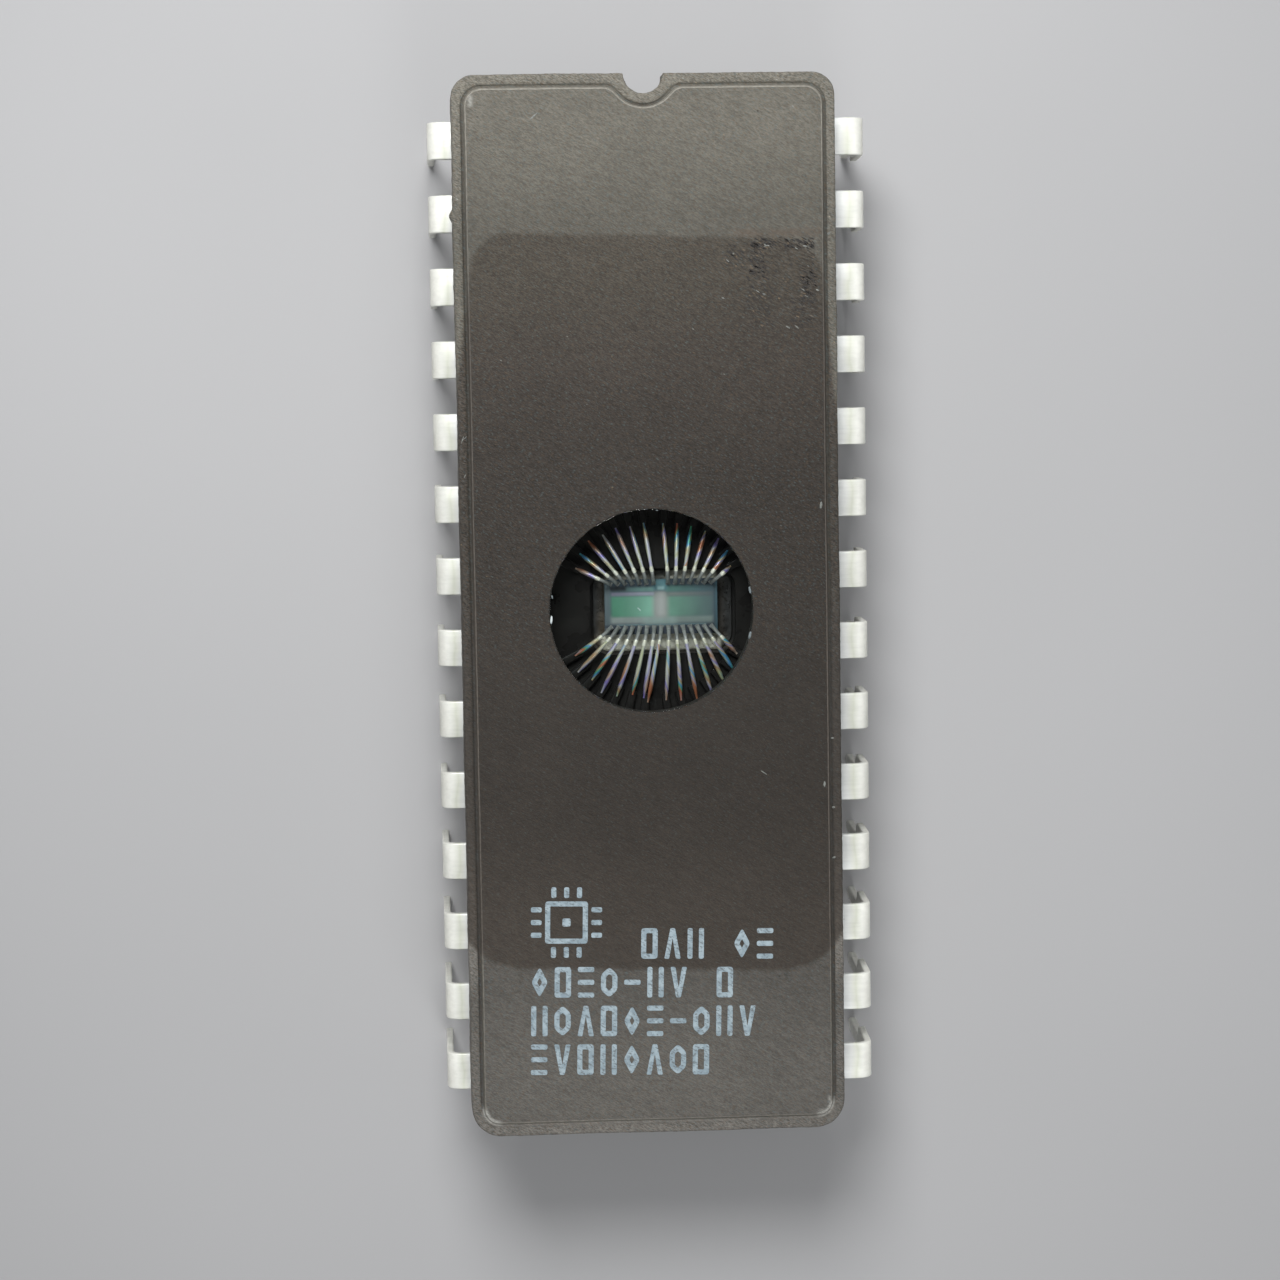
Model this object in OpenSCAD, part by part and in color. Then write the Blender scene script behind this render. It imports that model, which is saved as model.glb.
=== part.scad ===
// Windowed ceramic memory chip: a dual in-line package with 28 leads and a round glass window.
// Millimetres. The origin is the centre of the plane that the lead tips stand on, +Z is up
// through the lid and +Y is towards the notched end. Lead 1 is at the -X, +Y corner. Leads 1
// to 14 run down the -X side, and 15 to 28 come back up the +X side.

/* [Ceramic body] */
// Length of lid and base at their outer faces
body_l = 37.0; // [36.6:0.1:37.6]
// Width of lid and base at their outer faces
body_w = 13.2; // [12.9:0.1:13.5]
// Radius of the upright corners
corner_r = 0.9; // [0.7:0.05:1.2]
// How much each pressed ceramic widens a side towards the seal
draft = 0.06; // [0.02:0.01:0.1]
// Height of the base
base_h = 1.75; // [1.6:0.05:2]
// Height of the lid
lid_h = 1.75; // [1.6:0.05:2]
// Height of the fused glass between base and lid
seal_h = 0.6; // [0.5:0.05:0.8]
// How far the fused glass stops short of the ceramic's widest edge
seal_inset = 0.16; // [0.1:0.02:0.3]
// Sideways slip of the lid on the seal, as fired
lid_slip_x = -0.175; // [-0.2:0.025:0.2]
// Lengthwise slip of the lid on the seal, as fired
lid_slip_y = 0.055; // [-0.1:0.005:0.1]

/* [Rim and plateau] */
// Width of the land along the long sides
land_side = 0.45; // [0.35:0.05:0.6]
// Width of the land along the two ends
land_end = 0.49; // [0.35:0.05:0.6]
// Height of the plateau above the land
plateau_h = 0.13; // [0.08:0.01:0.2]
// Corner radius of the plateau
plateau_r = 0.5; // [0.3:0.05:0.7]
// Width of the groove at the foot of the plateau
groove_w = 0.1; // [0.05:0.01:0.15]
// Depth of the groove below the land
groove_d = 0.05; // [0.02:0.01:0.1]
// Bevel on the outer edges of the land and of the plateau
edge_bevel = 0.05; // [0.02:0.01:0.07]

/* [Notch and window] */
// Radius of the half-round notch at the lead 1 end
notch_r = 0.68; // [0.5:0.02:0.8]
// Radius of the window bore and of its glass
window_r = 3.55; // [3.2:0.05:3.8]
// Thickness of the window glass
window_t = 1.0; // [0.8:0.05:1.1]
// Depth of the recess under the lid that clears the bond wires
roof_d = 0.3; // [0.2:0.05:0.4]
// Side of the square recess under the lid
roof_w = 8.8; // [8.6:0.1:9.2]

/* [Leads] */
// Distance between neighbouring leads
lead_pitch = 2.54; // [2.5:0.01:2.54]
// Distance between the two rows at the seating plane
row_spacing = 15.24; // [15.2:0.02:15.4]
// Thickness of the lead frame
lead_t = 0.25; // [0.2:0.01:0.3]
// Width of the shoulders
lead_w = 1.3; // [1.1:0.05:1.5]
// Width below the seating plane
pin_w = 0.46; // [0.4:0.02:0.5]
// Height of the seating plane above the tips
seat_z = 3.4; // [3.2:0.1:3.6]
// Clear height between the seating plane and the underside of the base
standoff = 0.9; // [0.7:0.1:1.2]
// Height of the slope from shoulder to pin
shoulder_taper = 0.4; // [0.3:0.05:0.5]
// Height of the pointed end of a pin
point_h = 0.35; // [0.2:0.05:0.5]
// Width of the flat at the very tip
point_w = 0.24; // [0.2:0.02:0.3]
// Inside radius of the bend
bend_r = 0.3; // [0.25:0.01:0.35]
// Outward splay of the legs, in degrees
splay = 1.5; // [0.5:0.5:3]

/* [Inner fingers] */
// Radius of the ring that the finger tips end on
tip_r = 2.95; // [2.9:0.05:3]
// Radius where the slanting part of a finger meets its tip
knee_r = 4.4; // [4.2:0.1:4.6]
// Width of a finger just inside the body
finger_w = 0.7; // [0.6:0.05:0.75]
// Width of a finger at its knee
knee_w = 0.36; // [0.3:0.02:0.4]
// Width of a finger tip
tip_w = 0.28; // [0.24:0.02:0.3]
// Angle between the long axis and the first finger tip, in degrees
first_angle = 6.5; // [6:0.5:7]
// Angle from one finger tip to the next, in degrees
angle_step = 9.1; // [8.8:0.1:9.3]
// Radius of the round opening in the glass over the finger tips
cavity_r = 4.0; // [3.9:0.05:4.1]

/* [Die] */
// Length of the die across the package
die_l = 3.95; // [3.8:0.05:4.2]
// Width of the die along the package
die_w = 1.92; // [1.7:0.02:2]
// Thickness of the die
die_t = 0.4; // [0.3:0.02:0.45]
// Place of the die's centre on X
die_x = 0.24; // [0.2:0.02:0.36]
// Place of the die's centre on Y
die_y = 0.09; // [-0.07:0.02:0.15]
// Length of the die well across the package
well_l = 5.1; // [5:0.05:5.3]
// Width of the die well along the package
well_w = 3.0; // [2.9:0.05:3.1]
// Depth of the die well
well_d = 0.5; // [0.45:0.05:0.6]
// Corner radius of the die well
well_r = 0.7; // [0.5:0.05:0.9]
// Place of the well's centre on X
well_x = 0.3; // [0.2:0.02:0.4]
// Place of the well's centre on Y
well_y = -0.05; // [-0.1:0.01:0.1]
// Thickness of the bed under the die
attach_t = 0.07; // [0.05:0.01:0.1]
// Height and width of the bed's fillet round the die's foot
attach_fillet = 0.15; // [0.1:0.01:0.18]

/* [Bond wires] */
// Diameter of a bond wire
wire_d = 0.08; // [0.06:0.01:0.1]
// Height of a loop's middle above the line between its ends, as a share of that line
loop_share = 0.235; // [0.2:0.005:0.26]
// Distance of the pads from the die's edge on the notch side
pad_inset_top = 0.14; // [0.1:0.01:0.2]
// Distance of the pads from the die's opposite edge
pad_inset_low = 0.26; // [0.2:0.01:0.3]
// Distance between the pads along a row
pad_pitch = 0.25; // [0.23:0.005:0.26]
// Radius of the ring that the wires land on
bond_r = 3.26; // [3.24:0.01:3.35]
// Place of that ring's centre on X
bond_x = 0.15; // [0:0.01:0.15]
// Place of that ring's centre on Y
bond_y = -0.12; // [-0.15:0.01:0]
// Distance between the two wires that land on lead 14
double_gap = 0.16; // [0.1:0.02:0.18]

/* [Hidden] */
$fn = 64;
lead_n = 28;
half_n = lead_n / 2;
quarter_n = lead_n / 4;

// Heights, from the tips up
base_z = seat_z + standoff;
seal_z = base_z + base_h;
lid_z = seal_z + seal_h;
lid_top = lid_z + lid_h;
lead_z = seal_z + (seal_h - lead_t) / 2;
finger_top = lead_z + lead_t;
bed_z = seal_z - well_d;
die_z = bed_z + attach_t;
die_top = die_z + die_t;

// The bend's centre, set so that the rows have their spacing at the seating plane
bend_z = lead_z - bend_r;
bend_x = row_spacing / 2 - (bend_r + lead_t / 2) / cos(splay) - (bend_z - seat_z) * tan(splay);
// Where a shoulder narrows inside the seal: its depth from the body's edge, the neck's lap on
// the shoulder, its straight run and its width
neck_depth = 0.55;
neck_x = body_w / 2 - neck_depth;
neck_lap = 0.1;
neck_run = 0.75;
neck_w = 0.9;

// Corner radius of the recess under the lid, and the bevel on the window's upper edge
roof_r = 1.6;
window_bevel = 0.05;
// The plateau keeps the land's width round the notch
notch_relief_r = notch_r + land_end;
// Clear space between the die's bed and the well's wall, and the flat on top of the bed's fillet
bed_gap = 0.1;
fillet_rim = 0.02;
// The wedge foot at each end of a bond wire, and how far the wire's end lies inside it
foot_l = 0.14;
foot_w = 0.11;
foot_h = 0.05;
foot_lap = 0.05;
// The lead that takes two wires, the last one down the -X side
double_lead = half_n;
// Facets of a wire's round section
wire_fn = 24;
// How far a cutting shape runs past what it cuts
over = 1;

// Where each lead is: its side (-1 or 1), its end (-1 or 1) and its rank from the middle
function lead_name(i) = str("lead_", i < 10 ? "0" : "", i);
function lead_side(i) = i <= half_n ? -1 : 1;
function lead_y(i) = lead_pitch * (i <= half_n ? (half_n + 1) / 2 - i : i - (3 * half_n + 1) / 2);
function lead_end(i) = lead_y(i) > 0 ? 1 : -1;
function lead_rank(i) = round(abs(lead_y(i)) / lead_pitch + 0.5);
function tip_angle(i) = first_angle + angle_step * (quarter_n - lead_rank(i));
function tip_dir(i) = [sin(tip_angle(i)), cos(tip_angle(i))];

// Outline of a ribbon that follows the points p and has the width w[k] at point k
function unit(v) = v / norm(v);
function left_of(v) = [-v[1], v[0]];
function heading(p, k) = unit(p[k + 1] - p[k]);
function mitre(a, b) = unit(a + b) / (unit(a + b) * a);
function side_step(p, k) =
    k == 0 ? left_of(heading(p, 0)) :
    k == len(p) - 1 ? left_of(heading(p, k - 1)) :
    mitre(left_of(heading(p, k - 1)), left_of(heading(p, k)));
function ribbon(p, w) = concat(
    [for (k = [0 : len(p) - 1]) p[k] + side_step(p, k) * w[k] / 2],
    [for (k = [len(p) - 1 : -1 : 0]) p[k] - side_step(p, k) * w[k] / 2]
);

// Ends of the bond wires: pads along the die's long edges, and landings on the fingers. Each row
// has one place more than its half of the leads: the extra one is bare on the notch side, and
// takes the second wire of the double lead on the other side.
function pad_inset(end) = end > 0 ? pad_inset_top : pad_inset_low;
function pad_index(i) = lead_side(i) < 0 ? lead_rank(i) - 1 : half_n + 1 - lead_rank(i);
function pad_point(end, k) = [
    die_x + (k - half_n / 2) * pad_pitch,
    die_y + end * (die_w / 2 - pad_inset(end))
];
function finger_dir(i) = [lead_side(i) * tip_dir(i)[0], lead_end(i) * tip_dir(i)[1]];
function landing_r(i) = bond_r + finger_dir(i) * [bond_x, bond_y];
function landing(i, aside) = landing_r(i) * finger_dir(i) + [aside, 0];

// Rounded block that narrows by `taper` a side from z = 0 up to w by l at z = h
module tapered_block(w, l, r, h, taper) {
    cx = w / 2 - r;
    cy = l / 2 - r;
    for (sx = [-1, 1], sy = [-1, 1])
        translate([sx * cx, sy * cy, 0])
            cylinder(h = h, r1 = r + taper, r2 = r);
    rotate([90, 0, 0])
        linear_extrude(2 * cy, center = true)
            polygon([[-w / 2 - taper, 0], [w / 2 + taper, 0], [w / 2, h], [-w / 2, h]]);
    rotate([90, 0, 90])
        linear_extrude(2 * cx, center = true)
            polygon([[-l / 2 - taper, 0], [l / 2 + taper, 0], [l / 2, h], [-l / 2, h]]);
}

// Room that the land keeps round the notch: a half round with flanks at 45 degrees
module notch_relief(r, h) {
    translate([0, body_l / 2, 0])
        linear_extrude(h) {
            circle(r);
            polygon([
                [-r * cos(45), -r * sin(45)],
                [r * cos(45), -r * sin(45)],
                [r * (cos(45) + 1), r * (1 - sin(45))],
                [-r * (cos(45) + 1), r * (1 - sin(45))]
            ]);
        }
}

// The plateau's form, or the pocket round it when grown by `grow`
module plateau(grow, h, bevel) {
    w = body_w - 2 * land_side + 2 * grow;
    l = body_l - 2 * land_end + 2 * grow;
    r = plateau_r + grow;
    difference() {
        union() {
            tapered_block(w, l, r, h - bevel, 0);
            if (bevel > 0)
                translate([0, 0, h - bevel])
                    tapered_block(w - 2 * bevel, l - 2 * bevel, r - bevel, bevel, bevel);
        }
        translate([0, 0, -over])
            notch_relief(notch_relief_r - grow, h + 2 * over);
    }
}

// One pressed ceramic: widest at z = 0, with its land, groove and plateau on the face at z = h
module pressed_ceramic(h) {
    land_z = h - plateau_h;
    difference() {
        union() {
            tapered_block(body_w, body_l, corner_r, land_z - edge_bevel, draft);
            translate([0, 0, land_z - edge_bevel])
                tapered_block(
                    body_w - 2 * edge_bevel, body_l - 2 * edge_bevel,
                    corner_r - edge_bevel, edge_bevel, edge_bevel
                );
        }
        translate([0, 0, land_z - groove_d])
            plateau(groove_w, plateau_h, 0);
        translate([0, body_l / 2, -over])
            cylinder(h = h + 2 * over, r = notch_r);
    }
    translate([0, 0, land_z - groove_d])
        plateau(0, plateau_h + groove_d, edge_bevel);
}

module ceramic_base() {
    color([0.2, 0.18, 0.17])
        difference() {
            translate([0, 0, seal_z])
                mirror([0, 0, 1])
                    pressed_ceramic(base_h);
            translate([well_x, well_y, bed_z])
                tapered_block(well_l, well_w, well_r, well_d + over, 0);
        }
}

module ceramic_lid() {
    color([0.27, 0.25, 0.24])
        translate([lid_slip_x, lid_slip_y, lid_z])
            difference() {
                pressed_ceramic(lid_h);
                translate([0, 0, -over])
                    cylinder(h = lid_h + 2 * over, r = window_r);
                translate([0, 0, -over])
                    tapered_block(roof_w, roof_w, roof_r, roof_d + over, 0);
            }
}

module window_glass() {
    color([0.75, 0.82, 0.86, 0.35])
        translate([lid_slip_x, lid_slip_y, lid_top - window_t]) {
            cylinder(h = window_t - window_bevel, r = window_r);
            translate([0, 0, window_t - window_bevel])
                cylinder(h = window_bevel, r1 = window_r, r2 = window_r - window_bevel);
        }
}

module sealing_glass() {
    seal_w = body_w + 2 * draft - 2 * seal_inset;
    seal_l = body_l + 2 * draft - 2 * seal_inset;
    color([0.1, 0.1, 0.11])
        difference() {
            translate([0, 0, seal_z])
                tapered_block(seal_w, seal_l, corner_r, seal_h, 0);
            translate([0, 0, lead_z])
                cylinder(h = seal_h, r = cavity_r);
            translate([well_x, well_y, seal_z - over])
                tapered_block(well_l, well_w, well_r, seal_h + 2 * over, 0);
            translate([0, body_l / 2, seal_z - over])
                cylinder(h = seal_h + 2 * over, r = notch_r + seal_inset);
            for (i = [1 : lead_n])
                lead_flat(i);
        }
}

module die_attach() {
    color([0.62, 0.58, 0.5]) {
        translate([well_x, well_y, bed_z])
            tapered_block(
                well_l - 2 * bed_gap, well_w - 2 * bed_gap, well_r - bed_gap, attach_t, 0
            );
        translate([die_x, die_y, die_z])
            difference() {
                tapered_block(
                    die_l + 2 * fillet_rim, die_w + 2 * fillet_rim,
                    fillet_rim, attach_fillet, attach_fillet
                );
                translate([-die_l / 2, -die_w / 2, -over])
                    cube([die_l, die_w, attach_fillet + 2 * over]);
            }
    }
}

module silicon_die() {
    color([0.35, 0.55, 0.5])
        translate([die_x - die_l / 2, die_y - die_w / 2, die_z])
            cube([die_l, die_w, die_t]);
}

// Puts a shape that is drawn for the +X, +Y quarter in the quarter of lead i
module in_quarter(i) {
    mirror([lead_side(i) < 0 ? 1 : 0, 0, 0])
        mirror([0, lead_end(i) < 0 ? 1 : 0, 0])
            children();
}

// The flat part of a lead: its shoulder and the finger that fans in to the cavity
module lead_flat(i) {
    y = abs(lead_y(i));
    path = [[neck_x + neck_lap, y], [neck_x - neck_run, y], knee_r * tip_dir(i), tip_r * tip_dir(i)];
    in_quarter(i)
        translate([0, 0, lead_z])
            linear_extrude(lead_t) {
                translate([neck_x, y - lead_w / 2])
                    square([bend_x - neck_x, lead_w]);
                polygon(ribbon(path, [neck_w, finger_w, knee_w, tip_w]));
            }
}

// The quarter bend from the shoulder into the leg
module lead_bend() {
    translate([bend_x, lead_w / 2, bend_z])
        rotate([90, 0, 0])
            rotate([0, 0, splay])
                rotate_extrude(angle = 90 - splay)
                    translate([bend_r, 0])
                        square([lead_t, lead_w]);
}

// The leg: wide to the seating plane, then a narrow pin with a blunt point
module lead_leg() {
    taper_z = seat_z + shoulder_taper - bend_z;
    pin_z = seat_z - bend_z;
    point_z = point_h - bend_z;
    end_z = -bend_z - over;
    translate([bend_x, 0, bend_z])
        rotate([0, -splay, 0])
            translate([bend_r, 0, 0])
                rotate([90, 0, 90])
                    linear_extrude(lead_t)
                        polygon([
                            [-lead_w / 2, 0], [-lead_w / 2, taper_z], [-pin_w / 2, pin_z],
                            [-pin_w / 2, point_z], [-point_w / 2, -bend_z], [-point_w / 2, end_z],
                            [point_w / 2, end_z], [point_w / 2, -bend_z], [pin_w / 2, point_z],
                            [pin_w / 2, pin_z], [lead_w / 2, taper_z], [lead_w / 2, 0]
                        ]);
}

// One lead, with its tip trimmed flush with the ground
module lead(i) {
    color([0.88, 0.88, 0.86])
        difference() {
            union() {
                lead_flat(i);
                in_quarter(i)
                    translate([0, abs(lead_y(i)), 0]) {
                        lead_bend();
                        lead_leg();
                    }
            }
            in_quarter(i)
                translate([bend_x, abs(lead_y(i)) - lead_w, -2 * over])
                    cube([2 * over, 2 * lead_w, 2 * over]);
        }
}

// Arc of wire that starts at the origin and comes down at the distance `span` along X
module wire_arc(span) {
    high = loop_share * span;
    r = (span * span / 4 + high * high) / (2 * high);
    half_sweep = 2 * atan(2 * high / span);
    translate([span / 2, 0, high - r])
        rotate([90, 0, 0])
            rotate([0, 0, 90 - half_sweep])
                rotate_extrude(angle = 2 * half_sweep)
                    translate([r, 0])
                        circle(d = wire_d, $fn = wire_fn);
}

// One bond wire: a wedge foot on the pad, an arched loop and a wedge foot on the finger
module bond_wire(pad, land) {
    run = norm(land - pad);
    climb = finger_top - die_top;
    translate([pad[0], pad[1], die_top])
        rotate([0, 0, atan2(land[1] - pad[1], land[0] - pad[0])]) {
            translate([0, 0, wire_d / 2])
                rotate([0, -atan(climb / run), 0])
                    wire_arc(norm([run, climb]));
            translate([foot_lap - foot_l, -foot_w / 2, 0])
                cube([foot_l, foot_w, foot_h]);
            translate([run - foot_lap, -foot_w / 2, climb])
                cube([foot_l, foot_w, foot_h]);
        }
}

// The wires of leads `first` to `last`, each a separate solid
module bond_wires(first, last) {
    color([0.85, 0.85, 0.88])
        for (i = [first : last]) {
            k = pad_index(i);
            aside = i == double_lead ? double_gap / 2 : 0;
            bond_wire(pad_point(lead_end(i), k), landing(i, -aside));
            if (i == double_lead)
                bond_wire(pad_point(lead_end(i), k + 1), landing(i, aside));
        }
}

ceramic_base();
sealing_glass();
ceramic_lid();
window_glass();
silicon_die();
die_attach();
for (i = [1 : lead_n])
    lead(i);
bond_wires(1, 7);  // bond_wires_01_07
bond_wires(8, 14);  // bond_wires_08_14
bond_wires(15, 21);  // bond_wires_15_21
bond_wires(22, 28);  // bond_wires_22_28
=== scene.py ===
"""Finish of a windowed ceramic memory chip: its pressed ceramic, tinned leads, glass and die.

Lengths are in millimetres in the part's own frame, and pieces are scaled to metres as they are made.
"""
import functools
import math
import random

import bmesh
import bpy
from mathutils import Matrix, Vector, noise

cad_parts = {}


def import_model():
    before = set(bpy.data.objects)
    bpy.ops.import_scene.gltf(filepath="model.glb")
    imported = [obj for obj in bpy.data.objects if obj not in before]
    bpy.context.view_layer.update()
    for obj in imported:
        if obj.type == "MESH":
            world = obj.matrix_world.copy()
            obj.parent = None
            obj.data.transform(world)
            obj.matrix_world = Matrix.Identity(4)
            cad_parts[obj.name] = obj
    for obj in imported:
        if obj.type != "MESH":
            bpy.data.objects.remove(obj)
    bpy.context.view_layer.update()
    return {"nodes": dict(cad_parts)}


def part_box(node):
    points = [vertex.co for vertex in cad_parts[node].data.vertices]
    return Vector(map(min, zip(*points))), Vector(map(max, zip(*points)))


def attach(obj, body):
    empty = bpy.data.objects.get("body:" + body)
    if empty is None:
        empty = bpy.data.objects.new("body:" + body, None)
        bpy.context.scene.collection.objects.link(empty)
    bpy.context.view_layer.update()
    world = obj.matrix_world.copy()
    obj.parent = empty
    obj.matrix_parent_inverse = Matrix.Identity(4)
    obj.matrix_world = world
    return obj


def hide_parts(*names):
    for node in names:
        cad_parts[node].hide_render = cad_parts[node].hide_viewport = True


MM = 0.001
BODY = "root"

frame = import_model()


def box_mm(node):
    low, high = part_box(node)
    return low / MM, high / MM


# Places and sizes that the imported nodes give
lid_low, lid_high = box_mm("ceramic_lid")
base_low, base_high = box_mm("ceramic_base")
pane_low, pane_high = box_mm("window_glass")
die_low, die_high = box_mm("silicon_die")
bed_low, bed_high = box_mm("die_attach")
LID_X = (lid_low.x + lid_high.x) / 2
LID_Y = (lid_low.y + lid_high.y) / 2
LID_TOP = lid_high.z
LID_SEAL = lid_low.z
LID_H = LID_TOP - LID_SEAL
BASE_SEAL = base_high.z
BASE_H = BASE_SEAL - base_low.z
WINDOW_R = (pane_high.x - pane_low.x) / 2
DIE_X = (die_low.x + die_high.x) / 2
DIE_Y = (die_low.y + die_high.y) / 2
DIE_L = die_high.x - die_low.x
DIE_W = die_high.y - die_low.y
DIE_TOP = die_high.z
BED_Z = bed_low.z
DIE_Z = die_low.z
FINGER_TOP = box_mm("lead_01")[1].z

# Pressed ceramic
DRAFT = 0.06
BODY_W = lid_high.x - lid_low.x - 2 * DRAFT
BODY_L = lid_high.y - lid_low.y - 2 * DRAFT
CORNER_TOP = 0.8
CORNER_LOW = 1.05
NOTCH_R = 0.68
NOTCH_MOUTH = 0.06
LAND_SIDE = 0.45
LAND_END = 0.49
PLATEAU_H = 0.13
PLATEAU_TOP_R = 0.6
PLATEAU_LOW_R = 0.52
PLATEAU_MOUTH = 0.22
GROOVE_W = 0.2
GROOVE_D = 0.06
GROOVE_LOW_SHARE = -0.7
EDGE_ROUND = 0.07
TOP_ROUND = 0.05
ROOF_D = 0.3
ROOF_W = 8.8
ROOF_R = 1.6
WELL_X = (bed_low.x + bed_high.x) / 2
WELL_Y = (bed_low.y + bed_high.y) / 2
WELL_L = 5.1
WELL_W = 3.0
WELL_R = 0.7
WELL_ROUND = 0.08
BORE_ROUND = 0.025
BORE_RAGGED = 0.35

# Leads
LEAD_N = 28
HALF_N = LEAD_N // 2
QUARTER_N = LEAD_N // 4
LEAD_PITCH = 2.54
LEAD_T = 0.25
LEAD_W = 1.3
LEAD_Z = FINGER_TOP - LEAD_T
LEAD_MIDDLE = LEAD_Z + LEAD_T / 2
PIN_W = 0.46
SEAT_Z = 3.4
SHOULDER_TAPER = 0.4
POINT_H = 0.35
POINT_W = 0.24
BEND_R = 0.3
SPLAY = math.radians(1.5)
ROW_SPACING = 15.24
BEND_Z = LEAD_Z - BEND_R
BEND_X = (
    ROW_SPACING / 2
    - (BEND_R + LEAD_T / 2) / math.cos(SPLAY)
    - (BEND_Z - SEAT_Z) * math.tan(SPLAY)
)
TIP_R = 2.95
KNEE_R = 4.4
NECK_X = BODY_W / 2 - 0.55
NECK_GAP = 0.02
NECK_RUN = 0.75
NECK_W = 0.9
FINGER_W = 0.7
KNEE_W = 0.36
TIP_W = 0.28
FIRST_ANGLE = 6.5
ANGLE_STEP = 9.1

# Bond wires
PAD_INSET_TOP = 0.14
PAD_INSET_LOW = 0.26
PAD_PITCH = 0.25
BOND_R = 3.15
BOND_X = 0.15
BOND_Y = -0.12
DOUBLE_LEAD = HALF_N
DOUBLE_SPACE = 0.16
DOUBLE_STEP = 0.16
# How much further out along its finger than the even fan each wire lands, from lead 1 on
LANDING_OUT = (
    0.0, 0.0, 0.15, 0.18, 0.34, 0.27, 0.12,
    0.08, 0.3, 0.11, 0.24, 0.06, -0.2, -0.2,
    -0.14, -0.04, 0.09, 0.17, 0.16, 0.11, -0.11,
    -0.2, 0.04, 0.14, 0.09, 0.03, 0.0, -0.06,
)


def linear(red, green, blue):
    """A colour given as 0 to 255 screen values, as the linear values that shaders take."""

    def channel(value):
        share = value / 255
        return share / 12.92 if share <= 0.04045 else ((share + 0.055) / 1.055) ** 2.4

    return (channel(red), channel(green), channel(blue), 1.0)


def lerp(a, b, t):
    return a + (b - a) * t


def between(a, b, t):
    """The same for two (x, y) points."""
    return (lerp(a[0], b[0], t), lerp(a[1], b[1], t))


# Outlines, as lists of (x, y)


def line(start, end, count):
    """`count` points from start, up to but not with end."""
    return [between(start, end, k / count) for k in range(count)]


def arc(x, y, radius, start, end, count):
    """`count` points from the angle start, up to but not with the angle end, in degrees."""
    angles = [math.radians(lerp(start, end, k / count)) for k in range(count)]
    return [(x + radius * math.cos(a), y + radius * math.sin(a)) for a in angles]


def rounding(start, corner, end, count):
    """A corner rounded by a parabola from start to end, without its last point."""
    pairs = zip(line(start, corner, count), line(corner, end, count))
    return [between(a, b, k / count) for k, (a, b) in enumerate(pairs)]


def rectangle(x0, y0, x1, y1):
    return [(x0, y0), (x1, y0), (x1, y1), (x0, y1)]


# Numbers of points on the stretches of half a body outline
ARC_N, FLANK_N, MOUTH_N, END_N, CORNER_N, SIDE_N = 14, 8, 6, 64, 14, 340


def body_loop(side, end, notch, top_r, low_r, flank, mouth):
    """Outline of the body, inset by `side` and `end`, with its notch at +Y, from the notch round by +X."""
    half_w = BODY_W / 2 - side
    half_l = BODY_L / 2 - end
    centre = BODY_L / 2
    edge = half_l
    right = arc(0, centre, notch, -90, -45, ARC_N)
    if flank:
        reach = notch * math.sin(math.radians(45))
        foot = (reach, centre - reach)
        corner = (reach + edge - foot[1], edge)
        start = (corner[0] - mouth * 0.7, corner[1] - mouth * 0.7)
        right += line(foot, start, FLANK_N)
    else:
        stop = math.degrees(-math.asin(end / notch))
        corner = (notch * math.cos(math.radians(stop)), edge)
        last = stop - math.degrees(mouth / notch)
        right += arc(0, centre, notch, -45, last, FLANK_N)
        start = arc(0, centre, notch, last, stop, 1)[0]
    past = (corner[0] + mouth, edge)
    right += rounding(start, corner, past, MOUTH_N)
    right += line(past, (half_w - top_r, edge), END_N)
    right += arc(half_w - top_r, edge - top_r, top_r, 90, 0, CORNER_N)
    right += line((half_w, edge - top_r), (half_w, low_r - half_l), SIDE_N)
    right += arc(half_w - low_r, low_r - half_l, low_r, 0, -90, CORNER_N)
    right += line((half_w - low_r, -half_l), (0, -half_l), END_N)
    left = [(-x, y) for x, y in reversed(right[1:])]
    return right + [(0, -half_l)] + left


def edge_loop(inset):
    """The body's outline at one inset from its nominal outer face."""
    notch = NOTCH_R + max(inset, 0)
    return body_loop(
        inset, inset, notch, CORNER_TOP - inset, CORNER_LOW - inset, False, NOTCH_MOUTH
    )


def plateau_loop(inset):
    """The plateau's outline, inset from its wall, or outside it where the inset is below 0."""
    return body_loop(
        LAND_SIDE + inset,
        LAND_END + inset,
        NOTCH_R + LAND_END + inset,
        PLATEAU_TOP_R - inset,
        PLATEAU_LOW_R - inset,
        True,
        PLATEAU_MOUTH,
    )


def circle_under(loop, radius):
    """A circle with one point in the direction of each point of the loop."""
    return [tuple(Vector(p).normalized() * radius) for p in loop]


def rounded_box_under(loop, width, length, radius, x=0.0, y=0.0):
    """A rounded rectangle about (x, y) with one point in the direction of each point of the loop."""

    def outside(px, py):
        qx = abs(px) - width / 2 + radius
        qy = abs(py) - length / 2 + radius
        return math.hypot(max(qx, 0), max(qy, 0)) + min(max(qx, qy), 0) - radius > 0

    points = []
    for p in loop:
        way = Vector(p).normalized()
        near, far = 0.0, width + length
        for _ in range(24):
            middle = (near + far) / 2
            if outside(way.x * middle, way.y * middle):
                far = middle
            else:
                near = middle
        points.append((x + way.x * near, y + way.y * near))
    return points


# Meshes


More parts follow.
